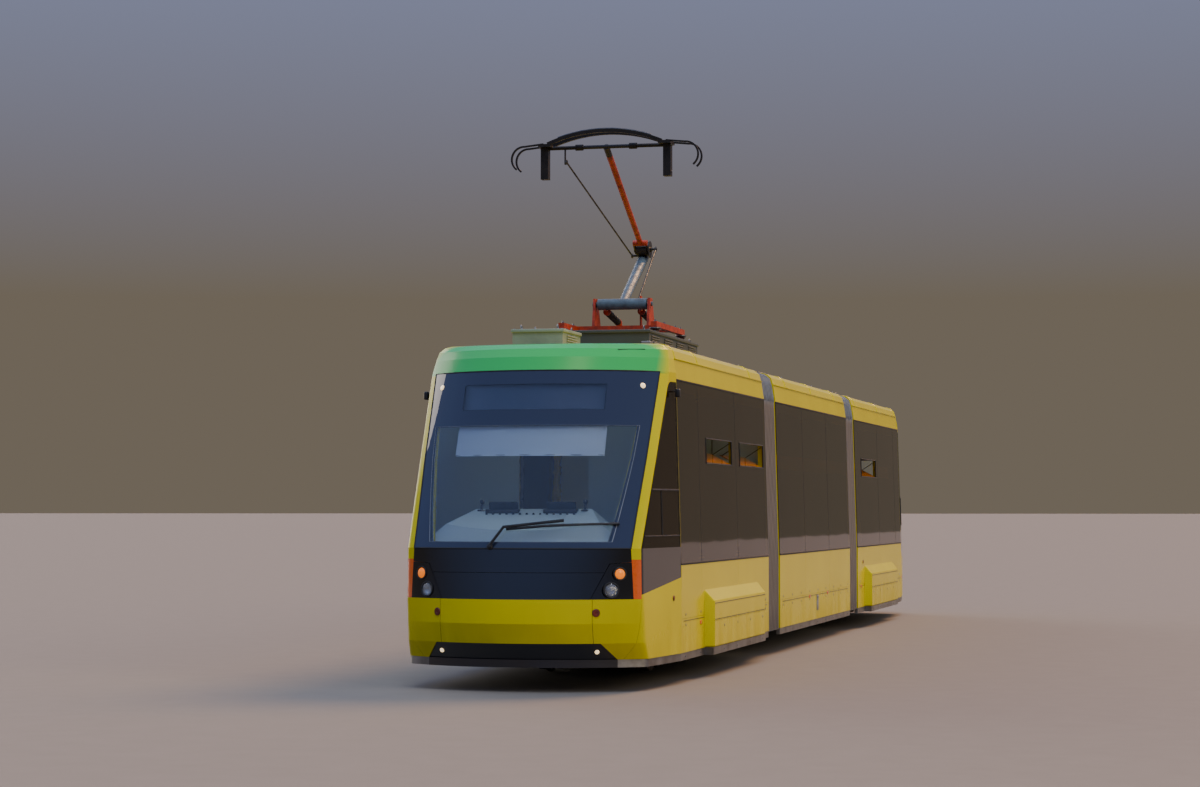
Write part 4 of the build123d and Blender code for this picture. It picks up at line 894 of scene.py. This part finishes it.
for part, spans in door_spans.items():
    seals, buttons, handles = [], [], []
    for x0, x1, double in spans:
        middle = (x0 + x1) / 2
        leaves = [(x0, middle - leaf_gap), (middle + leaf_gap, x1)] if double else [(x0, x1)]
        a, b, lintel = x0 - jamb, x1 + jamb, door_z[1] + jamb
        opening = [(a, door_z[0]), (a, waist_z), (a, lintel), (b, lintel), (b, waist_z), (b, door_z[0])]
        seals.append(wire([right_wall(x, z, -0.001) for x, z in opening], seal_r))
        if double:
            seals.append(wire([right_wall(middle, z, -0.006) for z in (door_z[0], waist_z, door_z[1])], finger_r))
        for a, b in leaves:
            l0, l1, (foot, head) = a + stile, b - stile, light_z
            corners = [(l0, foot), (l1, foot), (l1, waist_z), (l1, head), (l0, head), (l0, waist_z)]
            seals.append(wire([right_wall(x, z, -0.003) for x, z in corners], light_r, closed=True))
            x = b - stile / 2 if double and b < middle + 0.01 else a + stile / 2
            at_wall = Vector(right_wall(x, button_z, -0.002))
            buttons.append(turned(button_form, at_wall, (0, -1, 0), 20))
            seals.append(begin(bpy.ops.mesh.primitive_torus_add, major_radius=0.03, minor_radius=0.006,
                               major_segments=28, minor_segments=8, location=at_wall, rotation=(math.pi / 2, 0, 0)))
            bar_x = x + (handle_off if x < (a + b) / 2 else -handle_off)
            inner_y = -(wall_y(handle_z) - handle_in)
            handles.append(wire([(bar_x, inner_y + back, z) for back, z in handle_bends], handle_r, smooth=True))
    settle(join(seals), part + "_door_seals", rubber, body_of[part])
    settle(join(buttons), part + "_door_buttons", button_green, body_of[part])
    settle(join(handles), part + "_door_handles", handle_steel, body_of[part])

# Roof weather trim: aluminium drip rails where roof meets wall, painted weld covers over the
# roof's cross joints, and cable trunking along one edge.
rail_spans = {"front": (3.51, 8.16), "mid": (-2.74, 2.74), "rear": (-8.16, -3.51)}
cover_x = {"front": (4.2, 7.05, 8.12), "mid": (-1.9, 0.0, 1.9), "rear": (-8.12, -6.1, -3.75)}
rail_half, cover_r = (0.007, 0.006), 0.007
trunk_y, trunk_half, clips = 0.86, (0.045, 0.022), 6
for part, (x0, x1) in rail_spans.items():
    rails = [about(((x0 + x1) / 2, side * (wall_y(cant_z) + 0.002), cant_z + rail_half[1]),
                   ((x1 - x0) / 2, *rail_half), 0.002) for side in (1, -1)]
    settle(join(rails), part + "_drip_rails", lime_enamel, body_of[part])
    covers = []
    for x in cover_x[part]:
        line = [(x, y, z) for y, z in roof_corner] + [(x, -y, z) for y, z in reversed(roof_corner)]
        covers.append(wire(line, cover_r))
    settle(join(covers), part + "_roof_joint_covers", lime_enamel, body_of[part])
    trunk = [about(((x0 + x1) / 2, trunk_y, roof_top + trunk_half[1]), ((x1 - x0) / 2 - 0.15, *trunk_half), 0.006, 3)]
    for k in range(clips):
        x = x0 + 0.3 + (x1 - x0 - 0.6) * k / (clips - 1)
        trunk.append(about((x, trunk_y, roof_top + trunk_half[1] + 0.003),
                           (0.02, trunk_half[0] + 0.006, trunk_half[1]), 0.004))
    settle(join(trunk), part + "_roof_trunking", mill_aluminium, body_of[part])

# Roof cases' fittings: dished lids with an overhanging edge, hexagon screws, louvre banks in the
# sides, and lifting lugs at the corners.
# Cases: x0, x1, y0, y1, top.
cases = {"front": [(7.2, 7.9, -0.51, 0.0, 3.43), (4.5, 6.9, -0.64, 0.64, 3.48)],
         "mid": [(-1.6, 1.6, -0.6, 0.6, 3.36)],
         "rear": [(-7.5, -6.2, -0.6, 0.6, 3.36), (-6.0, -3.9, -0.6, 0.6, 3.36)]}
lid_over, lid_deep, lid_up = 0.014, 0.026, 0.006
bank_half, slat_gap, slat_half = 0.19, 0.024, (0.006, 0.007)
screw_gap, lug_in = 0.3, (0.08, 0.07)
screw_form = [(0.012, 0), (0.012, 0.007), (0.007, 0.008)]
# Hot-dip galvanised fasteners: dull grey metal, mottled.
galvanised = weathered("galvanised_fastener", "#8B8E90", "#6E7072", 0.42, metallic=0.9)


def pick(test, kind="FACE"):
    """Selects the active piece's faces, edges or points whose place and normal pass the test, in edit mode."""
    piece = bpy.context.object
    bpy.ops.object.mode_set(mode="EDIT")
    bpy.ops.mesh.select_mode(type=kind)
    bpy.ops.mesh.select_all(action="DESELECT")
    bpy.ops.object.mode_set(mode="OBJECT")
    if kind == "FACE":
        for face in piece.data.polygons:
            face.select = test(piece.matrix_world @ face.center, face.normal)
    elif kind == "EDGE":
        spots = piece.data.vertices
        for line in piece.data.edges:
            a, b = (piece.matrix_world @ spots[i].co for i in line.vertices)
            line.select = test((a + b) / 2, (b - a).normalized())
    else:
        for point in piece.data.vertices:
            point.select = test(piece.matrix_world @ point.co, point.normal)
    bpy.ops.object.mode_set(mode="EDIT")


for part, boxes in cases.items():
    lids, slats, screws, lugs = [], [], [], []
    for x0, x1, y0, y1, top in boxes:
        lid = block((x0 - lid_over, y0 - lid_over, top - lid_deep),
                    (x1 + lid_over, y1 + lid_over, top + lid_up), 0.005)
        pick(lambda place, normal: normal.z > 0.99 and place.z > top)
        bpy.ops.mesh.inset(thickness=0.05, depth=0)
        bpy.ops.mesh.inset(thickness=0.012, depth=0.005)
        bpy.ops.object.mode_set(mode="OBJECT")
        lids.append(lid)
        rows = 5 if top > 3.4 else 2
        banks = max(1, int((x1 - x0) / 0.6))
        for k in range(banks):
            x = x0 + (x1 - x0) * (k + 0.5) / banks
            for row in range(rows):
                z = top - lid_deep - 0.03 - slat_gap * row
                long = min(bank_half, (x1 - x0) / 2 - 0.06)
                for y, side in ((y1, 1), (y0, -1)):
                    slats.append(about((x, y + side * 0.004, z), (long, *slat_half), 0.003, 1))
        for k in range(int((x1 - x0) / screw_gap) + 1):
            x = x0 + 0.03 + (x1 - x0 - 0.06) * k / int((x1 - x0) / screw_gap)
            for y in (y0 + 0.012, y1 - 0.012):
                screws.append(turned(screw_form, (x, y, top + lid_up), sides=6))
        for x in (x0 + lug_in[0], x1 - lug_in[0]):
            for y in (y0 + lug_in[1], y1 - lug_in[1]):
                lugs.append(begin(bpy.ops.mesh.primitive_torus_add, major_radius=0.024, minor_radius=0.006,
                                  major_segments=20, minor_segments=8, location=(x, y, top + lid_up + 0.022),
                                  rotation=(math.pi / 2, 0, 0)))
    settle(join(lids), part + "_case_lids", case_coat, body_of[part])
    settle(join(slats), part + "_case_louvres", case_coat, body_of[part])
    settle(join(screws + lugs), part + "_case_screws", galvanised, body_of[part])

# Cooling fans: an axial fan in a raised ring under a wire guard, two on the middle case and
# two on the long rear case.
fan_spots = {"mid": [(-0.8, 0, 3.366), (0.8, 0, 3.366)], "rear": [(-5.4, 0, 3.366), (-4.5, 0, 3.366)]}
fan_r, blades, guard_rings, spokes, guard_up = 0.3, 7, 5, 4, 0.036
for part, spots in fan_spots.items():
    guards, rotors = [], []
    for spot in spots:
        middle = Vector(spot)
        shroud = turned([(fan_r + 0.03, -0.01), (fan_r + 0.02, 0.03), (fan_r, 0.034), (fan_r - 0.006, 0.004)], middle,
                        sides=48, hollow=True)
        guards.append(modify(shroud, "SOLIDIFY", thickness=0.003))
        for k in range(1, guard_rings + 1):
            guards.append(begin(bpy.ops.mesh.primitive_torus_add, major_radius=fan_r * k / (guard_rings + 0.5),
                                minor_radius=0.0025, major_segments=40, minor_segments=6,
                                location=middle + Vector((0, 0, guard_up))))
        for k in range(spokes):
            turn, hub = math.pi * k / spokes, middle + Vector((0, 0, guard_up - 0.003))
            away = Vector((math.cos(turn), math.sin(turn), 0)) * (fan_r + 0.005)
            guards.append(wire([hub - away, hub + away], 0.003))
        rotors.append(turned([(fan_r - 0.01, 0.0), (fan_r - 0.012, 0.001)], middle, sides=40))
        rotors.append(turned([(0.08, 0.002), (0.08, 0.02), (0.07, 0.026), (0.01, 0.027)], middle, sides=28))
        blade = block((0.07, -0.045, 0.006), (fan_r - 0.02, 0.045, 0.01), 0.0015, 1)
        for k in range(blades):
            vane = twin(blade)
            vane.data.transform(Matrix.Translation(middle) @ Matrix.Rotation(math.tau * k / blades, 4, "Z")
                                @ Matrix.Rotation(0.22, 4, "X"))
            rotors.append(vane)
        bpy.data.objects.remove(blade)
    settle(join(guards), part + "_fan_guards", galvanised, body_of[part])
    settle(join(rotors), part + "_fan_rotors", satin_black, body_of[part])

# Pantograph fittings: tension springs with their rods beside the foot, hexagon bolts on the frame,
# collars on the insulators, carbon strips on both bows, and nuts at the knee and the head.
spring_y, spring_x, spring_zz = 0.19, (4.78, 5.28), (3.72, 3.795)
coil_r, coil_wire, coils = 0.034, 0.0065, 16
insulator_spots = [(x, y) for x in (4.71, 5.99) for y in (0.5, -0.5)]
strip_y, bow_dx = 0.5, 0.09
rod_form = [(coil_r + 0.008, -0.006), (coil_r + 0.008, 0.01), (0.02, 0.02), (0.012, 0.05), (0.01, 0.09)]
bolt_form = [(0.018, 0), (0.018, 0.012), (0.011, 0.013), (0.01, 0.024)]
nut_form = [(0.012, 0), (0.012, 0.008), (0.007, 0.009)]
knee_form = [(0.03, 0), (0.03, 0.012), (0.018, 0.014), (0.016, 0.024)]


def spring(start, end, radius, gauge, turns, around=10):
    """Coil of round wire between two points."""
    start, end = Vector(start), Vector(end)
    line = end - start
    lift, one = line.normalized(), line.normalized().orthogonal().normalized()
    two = lift.cross(one)
    steps = turns * around
    return wire([start + line * (k / steps) + (one * math.cos(math.tau * k / around)
                 + two * math.sin(math.tau * k / around)) * radius for k in range(steps + 1)], gauge)


springs, rods, bolts = [], [], []
for side in (1, -1):
    a = Vector((spring_x[0], side * spring_y, spring_zz[0]))
    b = Vector((spring_x[1], side * spring_y, spring_zz[1]))
    springs.append(spring(a, b, coil_r, coil_wire, coils))
    for tip, way in ((a, (a - b).normalized()), (b, (b - a).normalized())):
        rods.append(turned(rod_form, tip, way, 16))
    rods.append(about((spring_x[0] - 0.07, side * spring_y, 3.66), (0.012, 0.03, 0.07), 0.005))
    for x in (4.72, 5.0, 5.55, 5.98):
        bolts.append(turned(bolt_form, (x, side * 0.5, 3.63), sides=6))
for x, y in insulator_spots:
    bolts.append(turned([(0.07, 0), (0.07, 0.01), (0.052, 0.013), (0.05, 0.02)], (x, y, 3.486), sides=24))
    bolts.append(turned([(0.05, -0.016), (0.06, -0.012), (0.06, 0.0)], (x, y, 3.57), sides=24))
settle(join(springs), "pantograph_springs", satin_black, "front_section")
settle(join(rods), "pantograph_spring_rods", oxide_enamel, "front_section")
settle(join(bolts), "pantograph_bolts", galvanised, "front_section")

# Sintered carbon ground by the wire: near black with a grey graphite sheen.
carbon = weathered("ground_carbon_strip", "#26272A", "#3A3B3D", 0.35)
carbons = []
for x in (head_at[0] - bow_dx, head_at[0] + bow_dx):
    line = []
    for k in range(13):
        y = strip_y * (k / 6 - 1)
        line.append(touch((x, y, 7), (0, 0, -1), "panto_head")[0] + Vector((0, 0, 0.002)))
    carbons.append(wire(line, 0.012))
settle(join(carbons), "collector_carbon_strips", carbon, "collector_head")
nuts = []
for side in (1, -1):
    for dx, dz in ((-0.03, 0), (0.03, 0), (0, -0.28)):
        nuts.append(turned(nut_form, (head_at[0] + dx, side * 0.7, head_at[1] + dz), (0, side, 0), 6))
    foot = Vector((head_at[0] - 0.06, side * 0.66, 5.43))
    nuts.append(spring(foot, foot + Vector((0, 0, 0.07)), 0.016, 0.003, 5, 8))
settle(join(nuts), "collector_nuts", galvanised, "collector_head")
knee_nuts = [turned(knee_form, (knee_at[0], 0.09, knee_at[1]), (0, 1, 0), 6),
             turned(knee_form[:3], (knee_at[0], -0.08, knee_at[1]), (0, -1, 0), 6)]
settle(join(knee_nuts), "pantograph_knee_nuts", satin_black, "upper_arm")

# Saloon seats: moulded plastic shells on steel pedestals, each with a moquette pad on its seat and
# back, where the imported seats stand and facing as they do. To the eye: deep blue wool pile with
# yellow figures 60 mm apart, soft at grazing light; its threads are drawn at 6 mm to show.
seat_y, raised_z, floor_z = 0.92, 0.56, 0.37
# Seats: x, y, floor height, and 1 where it faces forward.
seat_rows = {"front": [(x, side * seat_y, raised_z, face) for x, face in ((6.55, 1), (4.75, -1), (5.45, 1))
                       for side in (1, -1)],
             "mid": [(-1.9 + 0.8 * i, seat_y, floor_z, 1) for i in range(6)]}
seat_rows["rear"] = [(-x, y, z, -face) for x, y, z, face in seat_rows["front"]]
seat_half, shell_thick, pan_z = 0.2, 0.016, 0.395
pad_half, pad_deep, pad_crown = 0.178, 0.034, 0.014
thread_mm, figure_mm = 5.7, 62.5
back_steps = ((-0.012, 0, 0.045), (-0.016, 0, 0.2), (-0.02, 0, 0.26), (0.002, 0, 0.03))
pedestal_form = [(0.11, 0.001), (0.11, 0.008), (0.034, 0.02), (0.03, 0.34), (0.07, 0.37), (0.12, 0.384)]


def padded_slab(width, length, depth, crown):
    """Foam pad with rounded sides, drawn in between its corners and crowned in the middle."""
    pad = begin(bpy.ops.mesh.primitive_cube_add, size=1)
    pad.scale = (width, length, depth)
    bpy.ops.object.transform_apply(location=True, rotation=True, scale=True)
    bpy.ops.object.mode_set(mode="EDIT")
    bpy.ops.mesh.select_all(action="SELECT")
    bpy.ops.mesh.subdivide(number_cuts=4)
    bpy.ops.object.mode_set(mode="OBJECT")
    for point in pad.data.vertices:
        u, v = 2 * point.co.x / width, 2 * point.co.y / length
        if point.co.z > 0:
            point.co.z += crown * (1 - u * u) * (1 - v * v) - 0.45 * depth * max(abs(u), abs(v)) ** 6
        point.co.x *= 1 - 0.03 * (1 - v * v)
        point.co.y *= 1 - 0.03 * (1 - u * u)
    return modify(pad, "SUBSURF", levels=1, render_levels=1)


tree, shader, place, moquette = new_material("woven_blue_moquette", roughness=0.92, sheen_weight=0.5,
                                             sheen_roughness=0.4)
warp, weft = [add_node(tree, "TexWave", {"Vector": place, "Scale": bands(thread_mm)}, bands_direction=way)["Fac"]
              for way in "XY"]
pile = add_node(tree, "Math", {0: warp, 1: weft}, operation="MULTIPLY")[0]
figure = add_node(tree, "TexVoronoi", {"Vector": place, "Scale": cells(figure_mm)})["Distance"]
spot_on = add_node(tree, "MapRange", {"Value": figure, "From Min": 0.24, "From Max": 0.2})["Result"]
tone = add_node(tree, "Mix", {"Factor": pile, "A": srgb("#27406E"), "B": srgb("#37558C")}, data_type="RGBA")["Result"]
tone = add_node(tree, "Mix", {"Factor": spot_on, "A": tone, "B": srgb("#C8A838")}, data_type="RGBA")["Result"]
bump = add_node(tree, "Bump", {"Height": pile, "Strength": 0.4, "Distance": 0.002})["Normal"]
tree.links.new(tone, shader["Base Color"])
tree.links.new(bump, shader["Normal"])
# Injection-moulded seat plastic: mid grey with a low sheen, rubbed in patches.
seat_plastic = weathered("moulded_grey_seat_plastic", "#7D858C", "#6A7177", 0.45)

shell = begin(bpy.ops.mesh.primitive_plane_add, size=2 * seat_half, location=(0, 0, pan_z))
pick(lambda place, way: place.x < -seat_half + 0.01, "EDGE")
for move in back_steps:
    bpy.ops.mesh.extrude_edges_move(TRANSFORM_OT_translate={"value": move})
bpy.ops.object.mode_set(mode="OBJECT")
pick(lambda place, way: place.x > seat_half - 0.01, "EDGE")
bpy.ops.mesh.extrude_edges_move(TRANSFORM_OT_translate={"value": (0.012, 0, -0.022)})
bpy.ops.object.mode_set(mode="OBJECT")
modify(shell, "SOLIDIFY", thickness=shell_thick, offset=0)
modify(shell, "BEVEL", width=0.006, segments=2)
modify(shell, "SUBSURF", levels=1, render_levels=1)
grip = wire([(-seat_half - 0.05, -0.15, 0.93), (-seat_half - 0.075, -0.14, 0.945), (-seat_half - 0.075, 0.14, 0.945),
             (-seat_half - 0.05, 0.15, 0.93)], 0.011, smooth=True)
leg = turned(pedestal_form, sides=20)
seat_pad = padded_slab(2 * pad_half, 2 * pad_half, pad_deep, pad_crown)
seat_pad.location = (0.004, 0, pan_z + 0.024)
back_pad = padded_slab(0.44, 2 * pad_half, pad_deep, pad_crown)
back_pad.rotation_euler = (0, math.radians(94), 0)
back_pad.location = (-seat_half + 0.006, 0, 0.68)
for piece in (seat_pad, back_pad):
    bpy.ops.object.select_all(action="DESELECT")
    piece.select_set(True)
    bpy.ops.object.transform_apply(location=True, rotation=True, scale=True)
for part, spots in seat_rows.items():
    shells, legs, grips, pads = [], [], [], []
    for x, y, z, face in spots:
        for pattern, bag in ((shell, shells), (leg, legs), (grip, grips), (seat_pad, pads), (back_pad, pads)):
            bag.append(twin(pattern, move=(x, y, z), mirror=(face, 1, 1)))
    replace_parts(settle(join(shells), part + "_seat_shells", seat_plastic, body_of[part], 50),
                part + "_seats")
    settle(join(legs + grips), part + "_seat_legs", satin_black, body_of[part])
    settle(join(pads), part + "_seat_pads", moquette, body_of[part], 60)
for piece in (shell, grip, leg, seat_pad, back_pad):
    bpy.data.objects.remove(piece)

# Saloon fittings: stainless grab poles and ceiling rails on dropper brackets, and opal light
# strips along the ceiling that are switched on low.
pole_spots = {"front": [(7.16, -0.62), (7.16, 0.55), (4.14, 0.5), (4.14, -0.5)],
              "mid": [(x, y) for x in (-2.4, -0.75, 0.75, 2.4) for y in (-0.72, 0.5)]}
pole_spots["rear"] = [(-x, y) for x, y in pole_spots["front"]]
rail_runs = {"front": (3.75, 7.9), "mid": (-2.5, 2.5), "rear": (-7.9, -3.75)}
pole_r, flange_r, ceiling_z, rail_height, frost_mm = 0.017, 0.045, 3.19, 2.3, 83.3
pole_long = ceiling_z - floor_z
for part, spots in pole_spots.items():
    tubes = []
    for spot in spots:
        tubes.append(turned([(flange_r, 0.001), (flange_r, 0.01), (pole_r, 0.02), (pole_r, pole_long - 0.02),
                             (flange_r, pole_long - 0.01), (flange_r, pole_long)], (*spot, floor_z), sides=16))
    x0, x1 = rail_runs[part]
    for y in (0.55, -0.6):
        tubes.append(wire([(x0, y, ceiling_z), (x0 + 0.02, y, rail_height), (x0 + 0.1, y, rail_height),
                           (x1 - 0.1, y, rail_height), (x1 - 0.02, y, rail_height), (x1, y, ceiling_z)], pole_r))
        for k in range(1, 5):
            x = x0 + (x1 - x0) * k / 5
            tubes.append(turned([(0.024, 0), (0.03, 0.012), (0.012, 0.02), (0.01, ceiling_z - rail_height)],
                                (x, y, rail_height), sides=12))
    settle(join(tubes), part + "_grab_poles", handle_steel, body_of[part])

# Opal acrylic diffusers: warm white, evenly frosted and softly lit.
opal = two_tone("opal_light_diffuser", "TexNoise", {"Scale": cells(frost_mm), "Detail": 3.0},
                ("#FFF6E6", "#F2E6D0"), glow=True, roughness=0.5, emission_strength=1.6)
light_runs = {"front": (3.7, 8.0), "mid": (-2.55, 2.55), "rear": (-8.0, -3.7)}
for part, (x0, x1) in light_runs.items():
    strips = []
    for y in (0.42, -0.42):
        for k in range(3):
            a, b = x0 + (x1 - x0) * k / 3 + 0.04, x0 + (x1 - x0) * (k + 1) / 3 - 0.04
            strips.append(about(((a + b) / 2, y, 3.185), ((b - a) / 2, 0.06, 0.014), 0.008, 3))
    settle(join(strips), part + "_ceiling_lights", opal, body_of[part])
cab_lights = [about((8.5, side * 0.5, 3.1), (0.14, 0.22, 0.012), 0.006, 3) for side in (1, -1)]
both_ends(join(cab_lights), "cab_ceiling_lights", opal, "interior_panel")

# Driver's place: hooded instrument binnacle with two blank screens, controller levers and switch
# rows on the desk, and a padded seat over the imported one.
desk_z, binnacle_y, screen_x, switch_x, switches = 1.64, (0.28, -0.28), 8.99, 9.1, 14
lever_form = [(0.04, 0), (0.04, 0.012), (0.012, 0.024), (0.01, 0.08), (0.02, 0.09), (0.022, 0.11), (0.012, 0.12)]
switch_form = [(0.012, 0), (0.012, 0.008), (0.008, 0.016), (0.004, 0.018)]
# Grained vinyl hoods: charcoal, matt.
desk_dark = weathered("grained_black_dashboard_vinyl", "#26282B", "#1D1F21", 0.6)
console, controls = [], []
for y in binnacle_y:
    screen = about((screen_x, y, desk_z + 0.045), (0.016, 0.14, 0.055), 0.01, 3)
    screen.data.transform(Matrix.Translation((screen_x, 0, desk_z)) @ Matrix.Rotation(math.radians(16), 4, "Y")
                          @ Matrix.Translation((-screen_x, 0, -desk_z)) @ screen.matrix_world)
    screen.matrix_world = Matrix()
    console.append(screen)
    console.append(about((9.03, y, desk_z + 0.008), (0.05, 0.16, 0.02), 0.01, 3))
for y in (0.5, -0.5):
    controls.append(turned(lever_form, (screen_x, y, desk_z), (-0.3, 0, 1), 20))
for k in range(switches):
    controls.append(turned(switch_form, (switch_x, -0.42 + 0.065 * k, desk_z - 0.025), (-0.2, 0, 1), 12))
settle(join(console), "front_desk_screens", desk_dark, "front_section")
settle(join(controls), "front_desk_controls", satin_black, "front_section")
driver_pad = padded_slab(0.42, 0.44, 0.07, 0.02)
driver_pad.location = (8.66, 0, 1.035)
driver_back = padded_slab(0.5, 0.44, 0.07, 0.02)
driver_back.rotation_euler = (0, math.radians(92), 0)
driver_back.location = (8.505, 0, 1.27)
settle(join([driver_pad, driver_back]), "driver_seat_pads", moquette, "front_section",
                 60)

# Sun blind's fittings: a sprung roller above the cloth and a weighted bar in its hem.
blind_reach, roller_z, hem_z = 0.71, 2.428, 2.168
bars = []
for z, r, back in ((roller_z, 0.02, 0.022), (hem_z, 0.009, 0.006)):
    line = [touch((before_nose, blind_reach * (k / 3 - 1), z), (-1, 0, 0), "front_blind")[0] + Vector((-back, 0, 0))
            for k in range(7)]
    bars.append(wire(line, r))
settle(join(bars), "front_blind_roller", handle_steel, "front_section")

# Bogie fittings: axle-box caps with their screws, finned motor casings, magnetic rail brakes
# hung between the wheels, and sand pipes that end ahead of the treads.
bogie_x, axle_reach, axle_z, box_y, motor_reach = 5.65, 0.9, 0.32, 0.742, 0.4
magnet_y, disc_y, cap_screws, fins, shoes, vanes, wheel_bolts = 0.5, 0.24, 6, 9, 5, 12, 8
cap_form = [(0.095, 0), (0.095, 0.022), (0.075, 0.03), (0.07, 0.044), (0.02, 0.048)]
fin_form = [(0.168, 0), (0.176, 0.003), (0.176, 0.011), (0.168, 0.014)]
disc_form = [(0.12, 0.045), (0.12, 0.02), (0.215, 0.018), (0.215, 0.006), (0.15, 0.004)]
# Sand pipe: distance beyond the axle, y, z.
sand_route = [(0.1, 0.62, 0.43), (0.2, 0.62, 0.42), (0.27, 0.59, 0.34), (0.3, 0.55, 0.2), (0.29, 0.53, 0.1)]
for end, sign in (("front", 1), ("rear", -1)):
    middle = sign * bogie_x
    covers, screws, brakes = [], [], []
    for dx in (axle_reach, -axle_reach):
        for side in (1, -1):
            hub = Vector((middle + dx, side * box_y, axle_z))
            covers.append(turned(cap_form, hub, (0, side, 0), 28))
            for k in range(cap_screws):
                turn = math.tau * k / cap_screws
                screws.append(turned([(0.01, 0), (0.01, 0.008), (0.006, 0.009)],
                                     hub + Vector((0.084 * math.cos(turn), side * 0.022, 0.084 * math.sin(turn))),
                                     (0, side, 0), 6))
            x, away = middle + dx, 1 if dx > 0 else -1
            brakes.append(wire([(x + a * away, side * y, z) for a, y, z in sand_route], 0.014, smooth=True))
    for dx in (motor_reach, -motor_reach):
        for k in range(fins):
            covers.append(turned(fin_form, (middle + dx, -0.28 + 0.07 * k, 0.33), (0, 1, 0), 40))
    for side in (1, -1):
        y = side * magnet_y
        brakes.append(about((middle, y, 0.105), (0.46, 0.032, 0.05), 0.01, 3))
        for k in range(shoes):
            brakes.append(about((middle - 0.36 + 0.18 * k, y, 0.05), (0.07, 0.036, 0.018), 0.006, 2))
        for dx in (0.3, -0.3):
            brakes.append(about((middle + dx, y, 0.19), (0.025, 0.02, 0.05), 0.005))
            hanger = [(y, 0.22), (side * 0.56, 0.3), (side * 0.64, 0.36)]
            brakes.append(wire([(middle + dx, *place) for place in hanger], 0.018))
    settle(join(covers), end + "_axle_box_caps", dusty_black, end + "_bogie_frame")
    settle(join(screws), end + "_axle_box_screws", galvanised, end + "_bogie_frame")
    settle(join(brakes), end + "_rail_brakes", dusty_black, end + "_bogie_frame")
    for letter, dx in (("a", axle_reach), ("b", -axle_reach)):
        x = middle + sign * dx
        at_axle = Matrix.Translation((x, disc_y, axle_z))
        disc = [turned([(r, way * z) for r, z in disc_form], (x, disc_y, axle_z), (0, 1, 0), 48) for way in (1, -1)]
        for k in range(vanes):
            vane = about((0.17, 0, 0), (0.035, 0.006, 0.004), 0.001, 1)
            vane.data.transform(at_axle @ Matrix.Rotation(math.tau * k / vanes, 4, "Y") @ vane.matrix_world)
            vane.matrix_world = Matrix()
            disc.append(vane)
        for side in (1, -1):
            for k in range(wheel_bolts):
                turn = math.tau * k / wheel_bolts
                disc.append(turned([(0.013, 0), (0.013, 0.01), (0.008, 0.012)],
                                   (x + 0.19 * math.cos(turn), side * 0.552, axle_z + 0.19 * math.sin(turn)),
                                   (0, side, 0), 6))
        settle(join(disc), end + "_axle_" + letter + "_brake_disc", forged, end + "_axle_" + letter)

# Skirt fasteners: quarter-turn locks in shallow cups along every skirt panel and wheel cover, and
# screws through the bare sill below them.
lock_runs = {"front": (3.7, 8.0), "mid": (-2.55, 2.55), "rear": (-8.0, -3.7)}
cover_span, cover_proud, lock_gap = (4.2, 7.1), 0.095, 0.62
cover_locks_z, skirt_locks_z, sill_z = (0.5,), (0.66, 0.56), 0.262
cup_form = [(0.014, -0.002), (0.014, 0.001), (0.01, 0.003), (0.004, 0.003)]
sill_form = [(0.009, 0), (0.009, 0.004), (0.004, 0.005)]
door_free = {"front": [(7.1, 8.2)], "mid": [(-2.35, -0.75), (0.75, 2.35)], "rear": [(-8.2, -7.1)]}
for part, (x0, x1) in lock_runs.items():
    cups, screws = [], []
    count = int((x1 - x0) / lock_gap)
    for k in range(count + 1):
        x = x0 + (x1 - x0) * k / count
        behind = part != "mid" and cover_span[0] - 0.05 < abs(x) < cover_span[1] + 0.05
        for side in (1, -1):
            if side < 0 and any(a < x < b for a, b in door_free[part]):
                continue
            y = side * (half_width + (cover_proud if behind else 0))
            for z in (cover_locks_z if behind else skirt_locks_z):
                cups.append(turned(cup_form, (x, y, z), (0, side, 0), 16))
            screws.append(turned(sill_form, (x, y - side * 0.005, sill_z), (0, side, 0), 12))
    settle(join(cups), part + "_skirt_locks", galvanised, body_of[part])
    settle(join(screws), part + "_sill_screws", galvanised, body_of[part])

# Skirt and wheel-cover shut lines: the gaps over the drop-down flaps, each closed by a black
# rubber lip bonded along the edge.
flap_top, cover_lines, flap_lip_r = 0.6, (0.575, 0.735), 0.0035
left_flaps = {"front": [(3.62, 4.18), (7.12, 8.1)], "mid": [(-2.58, 2.58)]}
right_flaps = {"front": [(3.62, 4.18)], "mid": [(-2.58, -2.4), (-0.72, 0.72), (2.4, 2.58)]}
for flaps in (left_flaps, right_flaps):
    flaps["rear"] = [(-b, -a) for a, b in flaps["front"]]
for part in ("front", "mid", "rear"):
    lips = []
    for side, flaps in ((1, left_flaps), (-1, right_flaps)):
        for a, b in flaps[part]:
            lips.append(wire([(a, side * half_width, flap_top), (b, side * half_width, flap_top)], flap_lip_r))
        if part != "mid":
            a, b = [math.copysign(x, lock_runs[part][0]) for x in (cover_span[0] + 0.06, cover_span[1] - 0.06)]
            for z in cover_lines:
                y = side * (half_width + cover_proud)
                lips.append(wire([(a, y, z), (b, y, z)], flap_lip_r))
    settle(join(lips), part + "_flap_lips", rubber, body_of[part])
